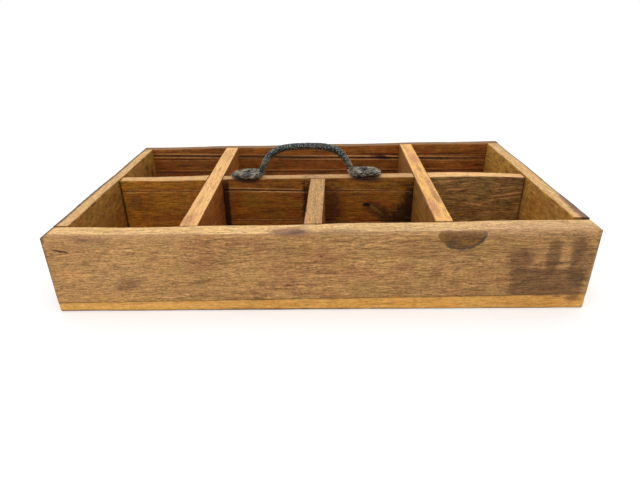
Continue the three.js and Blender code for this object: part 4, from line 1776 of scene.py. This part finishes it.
# Inner face of the back wall.
BEADED_Y = BACK_Y - BACK_THICKNESS
FRONT_WOOD = WoodFinish(
    name="front_wood",
    light=paint(200, 152, 92),
    mid=paint(176, 130, 76),
    dark=paint(132, 90, 50),
    pale=paint(236, 192, 128),
    pale_dark=paint(198, 150, 90),
    pale_from=5.5,
    contrast=1.25,
    streak=2.4,
    streak_length=34.0,
    ring_width=5.0,
    ring_strength=0.26,
    mottle=0.26,
    mottle_size=24.0,
    grain=2.2,
    grain_length=12.0,
    grain_width=0.75,
    top_grain=2.1,
    warm=paint(168, 114, 68),
    olive=paint(178, 138, 74),
    patches=0.55,
    seam=0.7,
    end_grime=1.2,
    dirt_and_shade=paint(98, 68, 42),
    marks=(
        # The left arris has the face's colour, and the left of the face is lighter.
        Mark((-185, FRONT_Y + 4.2, 79), (72, 4.4, 7), paint(180, 134, 82), 0.9, 0.25, 0.25, 7.0,
             outline=Outline.SQUARE),
        Mark((-190, FRONT_Y, 44), (66, 3.6, 40), paint(214, 166, 104), 0.34, 0.8, 0.3, 9.0),
        Mark((-208, FRONT_Y, 12), (56, 3.6, 8), paint(204, 154, 88), 0.6, 0.8, 0.4, 9.0),
        # The right of the face is duller, and the upper ends are dark.
        Mark((170, FRONT_Y, 50), (80, 3.6, 46), SHADE, 0.16, 0.7, 0.3, 9.0, way="MULTIPLY"),
        Mark((-252.2, FRONT_Y, 62), (2.4, 3.6, 20), DARK_EDGE, 0.7, 0.5, 0.3, 3.0),
        Mark((252.2, FRONT_Y, 72), (2.4, 3.6, 12), DARK_EDGE, 0.6, 0.5, 0.3, 3.0),
        Mark((-252.4, FRONT_Y + 12, 79), (3.4, 15, 4.5), DARK_EDGE, 0.9, 0.4, 0.3, 3.0,
             outline=Outline.SQUARE),
        # Dark stains at the right.
        Mark((211.5, FRONT_Y, 28), (34.5, 3.6, 15.5), STAIN, 1.0, 0.12, 0.12, 6.0,
             outline=Outline.SQUARE, way="MULTIPLY"),
        Mark((182, FRONT_Y, 53), (11, 3.6, 13), STAIN, 0.95, 0.4, 0.25, way="MULTIPLY"),
        Mark((212.5, FRONT_Y, 57), (6.5, 3.6, 18), STAIN, 1.0, 0.35, 0.2, way="MULTIPLY"),
        Mark((239, FRONT_Y, 47), (11, 3.6, 24), STAIN, 0.6, 0.25, 0.2, way="MULTIPLY"),
        Mark((233, FRONT_Y, 64), (6, 3.6, 15), STAIN, 0.85, 0.5, 0.25, way="MULTIPLY"),
        # The cut-off knot, the dark crack near the left end, and flecks and patches of the face.
        Knot((127, FRONT_Y, 81), (21, 6.5, 16), paint(128, 86, 32), 0.95, 0.07, 0.1, 5.0),
        Mark((119, FRONT_Y, 71), (5, 3.4, 2.4), paint(84, 54, 34), 0.75, 0.5, 0.6, 2.0),
        Mark((-235.5, FRONT_Y, 65.2), (7, 3.0, 1.1), paint(84, 50, 30), 0.95, 0.4, 0.4, 3.0, turn=-12),
        Mark((-110, FRONT_Y, 53), (13, 3.6, 9), paint(150, 94, 58), 0.5, 0.6, 0.5, 5.0, turn=15),
        Mark((-112, FRONT_Y, 32), (12, 3.6, 2), paint(122, 78, 44), 0.6, 0.5, 0.5, 4.0, turn=10),
        Mark((-180, FRONT_Y, 30), (14, 3.6, 6), paint(126, 86, 58), 0.6, 0.6, 0.6, 3.0, turn=14),
        Mark((-208, FRONT_Y, 77), (16, 3.6, 5), paint(148, 106, 74), 0.6, 0.6, 0.5, 4.0),
        Mark((-229, FRONT_Y, 41), (14, 3.6, 6), paint(206, 146, 86), 0.5, 0.6, 0.4, 4.0),
        Mark((0.9, FRONT_Y, 58.3), (1.6, 3.0, 0.8), paint(92, 56, 34), 0.85, 0.4, 0.3, 2.0),
        Mark((77, FRONT_Y, 46.5), (9, 3.6, 4), paint(140, 96, 60), 0.65, 0.6, 0.5, 3.0),
        Mark((107, FRONT_Y, 40), (7, 3.6, 6), paint(126, 86, 50), 0.5, 0.6, 0.7, 2.0),
        Mark((-23, FRONT_Y, 65), (14, 3.6, 6), paint(150, 112, 60), 0.5, 0.6, 0.5, 5.0),
        # Smears and duller lengths of the top.
        Mark((-29, SMEAR_Y + 2, 79.6), (19, 8, 4), paint(142, 98, 70), 0.85, 0.5, 0.4, 3.0),
        Mark((14, SMEAR_Y - 1, 79.6), (26, 4, 4), paint(140, 98, 60), 0.7, 0.6, 0.4, 4.0),
        Mark((-21, SMEAR_Y, 79.6), (10, 2.6, 4), paint(66, 38, 24), 0.75, 0.5, 0.5, 2.5),
        Mark((50, FRONT_Y + 8, 81), (60, 9, 4), paint(182, 144, 100), 0.4, 0.6, 0.4, 5.0),
        Mark((200, FRONT_Y + 9, 81), (75, 12, 5), paint(192, 148, 104), 0.6, 0.6, 0.3, 8.0),
        Mark((225, FRONT_Y + 19.5, 84), (5, 4, 4), paint(120, 86, 56), 0.5, 0.5, 0.9, 1.2),
    ),
)
BACK_WOOD = WoodFinish(
    name="back_wood",
    light=paint(177, 110, 39),
    mid=paint(146, 85, 26),
    dark=paint(83, 43, 13),
    pale=paint(150, 110, 68),
    pale_dark=paint(115, 78, 46),
    contrast=1.4,
    streak=2.4,
    streak_length=50.0,
    warm=paint(146, 69, 28),
    olive=paint(132, 92, 26),
    patches=0.45,
    shift=310.0,
    marks=(
        # Painted shade and painted highlights along the grooves, and stains of the inner face.
        *bead_lines(
            (-20, BEADED_Y), (236, 4), 9.0,
            (
                (64.6, 1.3, PIT_DARK_AND_SHADE, 0.8, 0.4, 0.25, -1),
                (66.9, 1.0, PALE_LINE_AND_HIGHLIGHT, 0.9, 0.3, 0.25, -1),
                (62.0, 0.8, PALE_LINE_AND_HIGHLIGHT, 0.6, 0.3, 0.35, -1),
                (45.6, 0.7, PALE_LINE_AND_HIGHLIGHT, 0.5, 0.4, 0.5, 0),
                (42.0, 0.7, PIT_DARK_AND_SHADE, 0.55, 0.5, 0.4, 0),
            ),
        ),
        Mark((-221, BEADED_Y, 42), (13, 5, 5), paint(128, 70, 58), 0.5, 0.6, 0.4, 5.0),
        Mark((87, BEADED_Y, 63.5), (12, 5, 3.2), PIT_DARK_AND_SHADE, 0.9, 0.5, 0.5, 5.0, turn=-8),
        Mark((-196, BEADED_Y, 53), (10, 5, 2.2), PIT_DARK_AND_SHADE, 0.5, 0.6, 0.6, 4.0),
    ),
)
LEFT_WOOD = WoodFinish(
    name="left_end_wood",
    light=paint(188, 136, 61),
    mid=paint(160, 112, 45),
    dark=paint(99, 64, 24),
    pale=paint(226, 180, 116),
    pale_dark=paint(192, 142, 84),
    streak=3.0,
    streak_length=12.0,
    mottle=0.6,
    mottle_size=9.0,
    ring_strength=0.1,
    warm=paint(138, 81, 33),
    olive=paint(156, 123, 35),
    patches=0.6,
    shift=520.0,
    end_grime=0.2,
    pith=(40.0, 20.0),
    marks=(
        # Painted shade along the outer arris, stains of the inner face and a rubbed spot on the top.
        Mark((-252.6, 6, 79), (5.0, 170, 4.6), paint(92, 76, 56), 0.92, 0.3, 0.3, 6.0,
             outline=Outline.SQUARE),
        Mark((-239.5, 104, 61), (4, 5, 4), PIT_DARK_AND_SHADE, 0.7, 0.6, 0.5, 3.0),
        Mark((-239.5, 121, 47), (4, 5, 5), PIT_DARK_AND_SHADE, 0.6, 0.6, 0.5, 3.0),
        Mark((-245, 20, 79), (4, 6, 3), paint(196, 150, 108), 0.7, 0.5, 0.5, 3.0),
    ),
)
RIGHT_WOOD = WoodFinish(
    name="right_end_wood",
    light=paint(218, 165, 77),
    mid=paint(190, 139, 61),
    dark=paint(117, 77, 33),
    pale=paint(226, 180, 118),
    pale_dark=paint(196, 146, 82),
    streak=3.0,
    streak_length=18.0,
    mottle=0.5,
    mottle_size=10.0,
    ring_strength=0.15,
    warm=paint(168, 106, 49),
    olive=paint(188, 150, 54),
    patches=0.55,
    shift=730.0,
    end_grime=0.2,
    pith=(44.0, 50.0),
    marks=(
        # Painted shade along the outer arris, and the dark bevel towards the front.
        Mark((252.4, 6, 83), (3.6, 170, 4.6), paint(100, 82, 62), 0.85, 0.3, 0.3, 6.0,
             outline=Outline.SQUARE),
        Mark((252.5, -128, 85), (10, 74, 9), paint(112, 78, 62), 0.85, 0.2, 0.25, 5.0),
    ),
)
CROSS_WOOD = WoodFinish(
    name="left_cross_wood",
    light=paint(174, 104, 35),
    mid=paint(146, 83, 25),
    dark=paint(88, 47, 14),
    pale=paint(248, 193, 121),
    pale_dark=paint(205, 146, 81),
    warm=paint(126, 63, 25),
    olive=paint(146, 95, 29),
    patches=0.5,
    streak=3.0,
    streak_length=30.0,
    top_grain=0.8,
    shift=150.0,
    marks=(
        # A long scrape on the right face, and duller lengths of the top.
        Mark((-115.8, -60, 50), (3, 46, 1.6), paint(158, 112, 92), 0.4, 0.6, 0.6, 6.0, turn=12,
             about=Turn.SIDE),
        Mark((-124.5, 40, 80.5), (1.2, 9, 4), paint(130, 82, 40), 0.6, 0.5, 0.5, 3.0),
        Mark((-124, 100, 80.5), (6, 26, 4), paint(206, 150, 92), 0.5, 0.6, 0.5, 5.0),
        Mark((-127, -112, 80), (6, 17, 4), paint(184, 122, 82), 0.7, 0.6, 0.5, 4.0),
        Mark((-126, -66, 80), (2.4, 15, 4), paint(196, 140, 82), 0.6, 0.5, 0.5, 4.0),
    ),
)
RIGHT_CROSS_WOOD = WoodFinish(
    name="right_cross_wood",
    light=paint(184, 132, 62),
    mid=paint(160, 110, 46),
    dark=paint(96, 60, 26),
    pale=paint(252, 193, 110),
    pale_dark=paint(212, 146, 80),
    warm=paint(172, 104, 56),
    olive=paint(150, 112, 40),
    patches=0.45,
    streak=3.0,
    streak_length=30.0,
    top_grain=0.8,
    shift=905.0,
    marks=(
        # Duller lengths of the top.
        Mark((121, 72, 83), (6, 26, 4), paint(204, 132, 92), 0.7, 0.6, 0.5, 5.0),
        Mark((120, 28, 83), (2.2, 16, 4), paint(176, 112, 66), 0.7, 0.5, 0.5, 4.0),
        Mark((122, -22, 83), (3.4, 20, 4), paint(196, 124, 84), 0.7, 0.6, 0.5, 4.0),
        Mark((121, -60, 82.5), (3.0, 20, 4), paint(160, 104, 66), 0.75, 0.5, 0.6, 3.0),
        Mark((113, -92, 82.5), (4.6, 24, 4), paint(196, 128, 94), 0.7, 0.6, 0.5, 4.0),
    ),
)
SHORT_WOOD = WoodFinish(
    name="short_divider_wood",
    light=paint(160, 108, 52),
    mid=paint(134, 86, 38),
    dark=paint(80, 48, 20),
    pale=paint(198, 151, 94),
    pale_dark=paint(161, 115, 67),
    top_grain=1.6,
    warm=paint(150, 92, 50),
    olive=paint(136, 104, 46),
    streak=3.0,
    streak_length=30.0,
    shift=1210.0,
)
LONG_LEFT_WOOD = WoodFinish(
    name="long_left_wood",
    light=paint(206, 144, 47),
    mid=paint(178, 117, 33),
    dark=paint(110, 66, 18),
    pale=paint(226, 176, 114),
    pale_dark=paint(182, 130, 76),
    warm=paint(175, 95, 33),
    olive=paint(161, 127, 47),
    patches=0.5,
    streak=1.9,
    streak_length=28.0,
    grain=1.8,
    shift=1460.0,
    marks=(
        # A painted highlight along the groove, stains of the face, and painted shadow in the gap at
        # the left end.
        Mark((-176, 4, 65.2), (34, 6, 0.9), PALE_LINE_AND_HIGHLIGHT, 0.85, 0.4, 0.35, 6.0, outline=Outline.SQUARE),
        Mark((-226, 4, 64), (5, 6, 2.6), paint(172, 136, 78), 0.6, 0.6, 0.6, 3.0),
        Mark((-222, 4, 52), (7, 6, 7), paint(120, 92, 46), 0.5, 0.6, 0.5, 5.0),
        Mark((-190, 4, 30), (34, 6, 6), paint(150, 78, 34), 0.5, 0.6, 0.4, 8.0),
        Mark((-237.5, 4, 47), (1.8, 6, 26), PIT_DARK_AND_SHADE, 0.85, 0.4, 0.3, 6.0, outline=Outline.SQUARE),
    ),
)
LONG_MIDDLE_WOOD = WoodFinish(
    name="long_middle_wood",
    light=paint(182, 117, 33),
    mid=paint(151, 93, 24),
    dark=paint(84, 46, 13),
    pale=paint(214, 164, 104),
    pale_dark=paint(170, 118, 68),
    contrast=1.3,
    streak=2.2,
    streak_length=36.0,
    grain=1.8,
    warm=paint(151, 81, 28),
    olive=paint(146, 117, 37),
    patches=0.5,
    shift=1730.0,
    marks=(
        # Painted shade and painted highlights along the grooves.
        *bead_lines(
            (-65, 3), (46, 7), 6.0,
            (
                (66.6, 0.9, PALE_LINE_AND_HIGHLIGHT, 0.9, 0.3, 0.3, -1.4),
                (64.8, 0.9, PIT_DARK_AND_SHADE, 0.85, 0.4, 0.3, -1.4),
                (63.2, 0.7, PALE_LINE_AND_HIGHLIGHT, 0.7, 0.3, 0.4, -1.4),
            ),
        ),
        *bead_lines((60, 3), (48, 7), 6.0, ((65.2, 0.9, PALE_LINE_AND_HIGHLIGHT, 0.8, 0.4, 0.5, -1.4),)),
        Mark((-66, 3, 26.4), (46, 7, 0.8), PALE_LINE_AND_HIGHLIGHT, 0.8, 0.4, 0.5, 6.0, outline=Outline.SQUARE),
        Mark((-80, 3, 30.7), (3, 7, 2.2), paint(140, 92, 50), 0.7, 0.5, 0.4, 3.0),
        # Painted shade in the corners at the left end and beside the short divider.
        Mark((-113, 3, 42), (4.2, 9, 33), PIT_DARK_AND_SHADE, 0.92, 0.3, 0.35, 6.0, outline=Outline.SQUARE),
        Mark((-14, 3, 40), (6.5, 9, 32), PIT_DARK_AND_SHADE, 0.9, 0.35, 0.9, 3.0, outline=Outline.SQUARE),
        Mark((12, 3, 37), (13, 9, 30), paint(66, 32, 14), 0.75, 0.6, 0.9, 4.0),
        # The large dark stain at the right, with its streaks and its pit.
        Mark((107, 1, 46), (8, 9, 26), paint(38, 21, 11), 0.9, 0.5, 0.9, 4.0),
        Mark((98, 1, 34), (12, 9, 15), paint(40, 22, 12), 0.85, 0.5, 0.9, 4.0, turn=-25),
        Mark((86, 1, 26), (14, 9, 6), paint(44, 24, 13), 0.7, 0.6, 0.8, 4.0),
        Mark((72, 1, 37), (17, 9, 8), paint(54, 30, 16), 0.8, 0.6, 0.6, 5.0, turn=-35),
        Mark((64, 1, 42), (11, 9, 2.0), paint(150, 110, 52), 0.7, 0.6, 0.5, 3.0, turn=-38),
        Mark((55.4, 1, 46.5), (5, 9, 2.8), paint(26, 14, 8), 1.0, 0.35, 0.3, 2.5),
        # Small marks near the top, and painted shadow under the handle's feet.
        Mark((21, 1, 67), (5, 7, 1.2), PIT_DARK_AND_SHADE, 0.5, 0.5, 0.4, 3.0),
        Mark((-84, 2.5, 77.8), (17, 7, 4), paint(44, 22, 14), 0.9, 0.5, 0.3, 4.0),
        Mark((54, 1.5, 79.6), (17, 7, 4), paint(44, 22, 14), 0.9, 0.5, 0.3, 4.0),
        Mark((-68, 6, 79.5), (4, 5, 2), paint(206, 132, 62), 0.6, 0.6, 0.3, 4.0),
    ),
)
LONG_RIGHT_WOOD = WoodFinish(
    name="long_right_wood",
    light=paint(171, 134, 74),
    mid=paint(140, 105, 53),
    dark=paint(84, 59, 29),
    pale=paint(249, 196, 127),
    pale_dark=paint(198, 145, 85),
    contrast=1.6,
    streak=1.8,
    streak_length=14.0,
    relief=0.6,
    grain=2.0,
    warm=paint(126, 76, 41),
    olive=paint(131, 110, 55),
    patches=0.5,
    shift=2050.0,
    marks=(
        # Light saw lines across the face, and a rubbed spot on the top.
        Mark((142, -2, 75.5), (13, 7, 1.1), PALE_LINE_AND_HIGHLIGHT, 0.9, 0.4, 0.4, 4.0, turn=5),
        Mark((220, -6, 61.5), (20, 8, 1.2), PALE_LINE_AND_HIGHLIGHT, 0.9, 0.4, 0.4, 4.0, turn=9),
        Mark((221, -6, 57), (19, 8, 1.0), PALE_LINE_AND_HIGHLIGHT, 0.8, 0.4, 0.4, 4.0, turn=8),
        Mark((184, -5, 47.6), (15, 8, 1.1), PALE_LINE_AND_HIGHLIGHT, 0.85, 0.4, 0.4, 4.0, turn=-8),
        Mark((186, -5, 47.6), (9, 8, 1.0), PALE_LINE_AND_HIGHLIGHT, 0.8, 0.4, 0.4, 4.0, turn=20),
        Mark((160, -3, 66.5), (17, 8, 0.9), PALE_LINE_AND_HIGHLIGHT, 0.7, 0.4, 0.5, 4.0, turn=4),
        Mark((152, -3, 57.0), (12, 8, 0.8), PALE_LINE_AND_HIGHLIGHT, 0.6, 0.4, 0.5, 4.0, turn=-6),
        Mark((208, -5, 38.5), (20, 8, 0.9), PALE_LINE_AND_HIGHLIGHT, 0.6, 0.4, 0.5, 4.0, turn=6),
        Mark((214, -5, 69.0), (16, 8, 0.8), PALE_LINE_AND_HIGHLIGHT, 0.6, 0.4, 0.5, 4.0, turn=7),
        Mark((229, -7, 84), (6, 3.5, 3), paint(214, 158, 132), 0.5, 0.6, 0.4, 3.0),
    ),
)
BASE_WOOD = WoodFinish(
    name="base_wood",
    light=paint(242, 183, 95),
    mid=paint(224, 163, 77),
    dark=paint(176, 114, 48),
    pale=paint(204, 148, 70),
    pale_dark=paint(160, 104, 44),
    streak=2.2,
    streak_length=40.0,
    grain=1.0,
    warm=paint(227, 152, 73),
    olive=paint(216, 165, 77),
    seam=0.9,
    dirt_and_shade=paint(92, 62, 32),
    dirt_change=0.75,
    shift=2600.0,
    marks=(
        # Painted contact shadow where the base meets the table.
        *bead_lines((-115, FRONT_Y), (150, 4), 9.0, ((0.2, 1.5, CONTACT_SHADOW, 0.9, 0.4, 0.4, 0),)),
        *bead_lines((150, FRONT_Y), (110, 4), 9.0, ((0.2, 0.9, CONTACT_SHADOW, 0.8, 0.4, 0.4, 0),)),
        # The lighter left length, and nicks at the right end.
        Mark((-170, FRONT_Y, 6), (90, 4, 6), paint(250, 192, 106), 0.5, 0.7, 0.4, 9.0),
        Mark((239, FRONT_Y, 11.4), (7, 4, 3.4), paint(120, 74, 46), 0.8, 0.6, 0.6, 2.5),
        Mark((224, FRONT_Y, 13.6), (5, 4, 1.2), paint(136, 84, 50), 0.7, 0.6, 0.5, 2.5),
    ),
)
IRON = IronFinish(
    name="forged_iron",
    skin=paint(22, 26, 25),
    worn=paint(150, 158, 150),
    patina=paint(172, 158, 132),
    # Painted highlights.
    rim=paint(246, 232, 202),
    patina_from=92.0,
    patina_to=106.0,
)


@dataclass
class Tray:
    """The whole tray: base, walls, dividers, handle and fasteners."""

    front_thickness: float = 25.0
    back_thickness: float = BACK_THICKNESS
    left_thickness: Pair = (14.2, 13.2)
    right_thickness: float = 15.5
    open_end_gap: float = 1.0
    front_radius: float = 4.5
    front_inner_radius: float = 1.2
    front_left_radius: float = 1.5
    front_left_height: float = 1.4
    front_left_share: float = 0.2
    front_sharp_share: float = 0.014
    left_extra: Pair = (2.4, 0.3)
    right_extra: float = 1.5
    cross_extra: float = 1.2
    bevel_width: float = 6.7
    bevel_share: float = 0.5
    crown_share: float = 0.5
    crown_height: float = 0.6
    crown_drops: Pair = (0.7, 0.5)

    LEFT_X = -BASE.length / 2
    RIGHT_X = BASE.length / 2

    def left_side(self, y: Array) -> Array:
        """Where the front and back walls start."""
        return self.LEFT_X + 0 * y

    def right_side(self, y: Array) -> Array:
        """Where the front and back walls end."""
        return self.RIGHT_X + 0 * y

    def inside_front(self, x: Array) -> Array:
        """Where boards that run across the tray start."""
        return FRONT_Y + self.front_thickness + BUTT_GAP + 0 * x

    def inside_back(self, x: Array) -> Array:
        """Where boards that run across the tray end."""
        return BACK_Y - self.back_thickness - BUTT_GAP + 0 * x

    def walls(self) -> list[Board]:
        """The four walls.

        Returns:
            Front, back, left and right.
        """
        front = Board(
            "front_wall", FRONT_WOOD, "wall_wood",
            centre=FRONT_Y + self.front_thickness / 2,
            thickness=(self.front_thickness, self.front_thickness),
            start=self.left_side,
            end=self.right_side,
            seed=11,
            run=Run.ALONG,
            rise=self.front_rise,
            arris=self.front_radius + self.front_left_radius,
            arris_at=self.front_arris,
            corner={Side.NEAR: 1.2, Side.FAR: 0.6},
            nails={Side.NEAR: nail_names("front_left_end", "front_right_end")},
        )
        back_joints = ("back_left_end", "back_left_cross", "back_right_cross", "back_right_end")
        back = Board(
            "back_wall", BACK_WOOD, "dark_wood",
            centre=BACK_Y - self.back_thickness / 2,
            thickness=(self.back_thickness, self.back_thickness),
            start=self.left_side,
            end=self.right_side,
            seed=12,
            run=Run.ALONG,
            rise=lambda share, t: edge_wave(t, math.pi / 2),
            corner={Side.NEAR: 0.6, Side.FAR: 1.2},
            grooves=(Groove(66.85), Groove(61.85), Groove(42.85)),
            nails={Side.FAR: nail_names(*back_joints)},
        )
        first, last = self.left_thickness
        front_face, back_face = (float(at(0.0)) for at in (self.inside_front, self.inside_back))
        slope = (last - first) / 2 / (back_face - front_face)
        left = Board(
            "left_end", LEFT_WOOD, "wall_wood",
            centre=self.LEFT_X + first / 2 - front_face * slope,
            lean=slope * BASE.depth,
            thickness=self.left_thickness,
            start=self.inside_front,
            end=self.inside_back,
            seed=13,
            rise=self.left_rise,
            nails={Side.NEAR: nail_names("long_left")},
        )
        right = Board(
            "right_end", RIGHT_WOOD, "wall_wood",
            centre=self.RIGHT_X - self.right_thickness / 2,
            thickness=(self.right_thickness, self.right_thickness),
            start=self.inside_front,
            end=self.inside_back,
            seed=14,
            rise=lambda share, t: edge_wave(t, 0) + self.right_extra * (1 - share),
            bevel_at=self.right_bevel,
            nails={Side.FAR: nail_names("long_right")},
        )
        return [front, back, left, right]

    def front_rise(self, share: Array, t: Array) -> Array:
        """Rise of the front wall's top, higher towards its left end."""
        return edge_wave(t, 0) + self.front_left_height * smooth(self.front_left_share, 0, share)

    def left_rise(self, share: Array, t: Array) -> Array:
        """Rise of the left end's top, higher at its front."""
        front, back = self.left_extra
        return edge_wave(t, math.pi) + front - (front - back) * share

    def cross_rise(self, share: Array, t: Array) -> Array:
        """Rise of a cross divider's top, higher at its back."""
        return self.cross_extra * share

    def front_arris(self, side: Side, share: Array) -> Array:
        """Radius of the front wall's arrises.

        Args:
            side: Which arris.
            share: Share of the wall's length.

        Returns:
            The radius: the outer arris is rounder at the left, and sharper at its very ends.
        """
        if side is Side.FAR:
            return self.front_inner_radius + 0 * share
        end = 0.5 + 0.5 * smooth(0, self.front_sharp_share, np.minimum(share, 1 - share))
        extra = self.front_left_radius * smooth(self.front_left_share, 0, share)
        return (self.front_radius + extra) * end

    def right_bevel(self, side: Side, share: Array) -> Array:
        """Widths of the right end's arrises as shares of their depth.

        Args:
            side: Which arris.
            share: Share of the board's length from the front.

        Returns:
            The share: the outer arris is rubbed wider and wider towards the front.
        """
        if side is Side.NEAR:
            return 1 + 0 * share
        return self.bevel_width - (self.bevel_width - 1) * np.minimum(1, share / self.bevel_share)

    def dividers(self, left_end: Board, right_end: Board) -> list[Board]:
        """The six dividers.

        Args:
            left_end: Left wall, which the long divider butts against.
            right_end: Right wall, which it butts against at the other end.

        Returns:
            The dividers.
        """
        left_cross = Board(
            "left_cross_divider", CROSS_WOOD, "divider_wood",
            centre=-124.5,
            thickness=(17.5, 17.5),
            start=self.inside_front,
            end=self.inside_back,
            seed=21,
            rise=self.cross_rise,
        )
        right_cross = Board(
            "right_cross_divider", RIGHT_CROSS_WOOD, "divider_wood",
            centre=118.2,
            thickness=(17.0, 17.0),
            start=self.inside_front,
            end=self.inside_back,
            seed=22,
            lean=4.5,
            rise=self.cross_rise,
        )
        long_left = Board(
            "long_divider_left", LONG_LEFT_WOOD, "dark_wood",
            centre=12.0,
            thickness=(13.5, 18.0),
            start=lambda y: left_end.face(Side.FAR, y) + self.open_end_gap,
            end=lambda y: left_cross.face(Side.NEAR, y) - BUTT_GAP,
            seed=23,
            run=Run.ALONG,
            rise=lambda share, t: edge_wave(t, 0),
            grooves=(Groove(63.85),),
        )
        long_middle = Board(
            "long_divider_middle", LONG_MIDDLE_WOOD, "dark_wood",
            centre=9.4,
            thickness=(13.0, 15.5),
            start=lambda y: left_cross.face(Side.FAR, y) + BUTT_GAP,
            end=lambda y: right_cross.face(Side.NEAR, y) - BUTT_GAP,
            seed=24,
            run=Run.ALONG,
            lean=-8.0,
            grooves=(Groove(63.85), Groove(24.85)),
            nails={Side.FAR: nail_names("back_short_divider")},
        )
        long_right = Board(
            "long_divider_right", LONG_RIGHT_WOOD, "grey_wood",
            centre=20.9,
            thickness=(18.5, 13.5),
            start=lambda y: right_cross.face(Side.FAR, y) + BUTT_GAP,
            end=lambda y: right_end.face(Side.NEAR, y) - self.open_end_gap,
            seed=25,
            run=Run.ALONG,
            lean=-46.9,
            rise=self.crown,
            rough=0.45,
        )
        short = Board(
            "short_divider", SHORT_WOOD, "divider_wood",
            centre=-2.9,
            thickness=(17.5, 17.5),
            start=self.inside_front,
            end=lambda x: long_middle.face(Side.NEAR, x) - BUTT_GAP,
            seed=26,
            lean=10.0,
        )
        return [left_cross, right_cross, long_left, long_middle, long_right, short]

    def crown(self, share: Array, t: Array) -> Array:
        """Rise of the right length's crowned top over the common height.

        Args:
            share: Share of its length.
            t: Place along it; not used.

        Returns:
            The rise.
        """
        left_drop, right_drop = (drop + self.crown_height for drop in self.crown_drops)
        left = left_drop * ((share - self.crown_share) / self.crown_share) ** 2
        right = right_drop * ((share - self.crown_share) / (1 - self.crown_share)) ** 2
        return self.crown_height - np.where(share < self.crown_share, left, right)

    def divider_top(self, x: Array) -> Array:
        """Height at which the handle's feet stand on the long divider."""
        return BASE.top(x) + BUTT_GAP + BOARD_HEIGHT + BUTT_GAP

    def build(self) -> None:
        """Builds every piece and reports it."""
        for piece in BasePlanks(BASE_WOOD).build():
            self.report(piece)
        walls = self.walls()
        _, _, left_end, right_end = walls
        for board in [*walls, *self.dividers(left_end, right_end)]:
            self.report(board.build())
        handle = Handle(IRON, self.divider_top).build()
        self.report(handle)
        for piece in Screws(handle.data.materials[0]).build():
            self.report(piece)
        LOG.info("nails dressed: %d", Nails().dress())

    def report(self, piece: bpy.types.Object) -> None:
        """Logs a piece's name and how many faces it has."""
        LOG.info("%s: %d faces", piece.name, len(piece.data.polygons))


def main() -> None:
    """Builds the tray and the studio around it."""
    logging.basicConfig(level=logging.INFO, format="%(name)s: %(message)s")
    bpy.context.scene.view_settings.view_transform = "Standard"
    Tray().build()
    studio = Studio()
    studio.camera()
    studio.floor()
    studio.light()


if __name__ == "__main__":
    main()
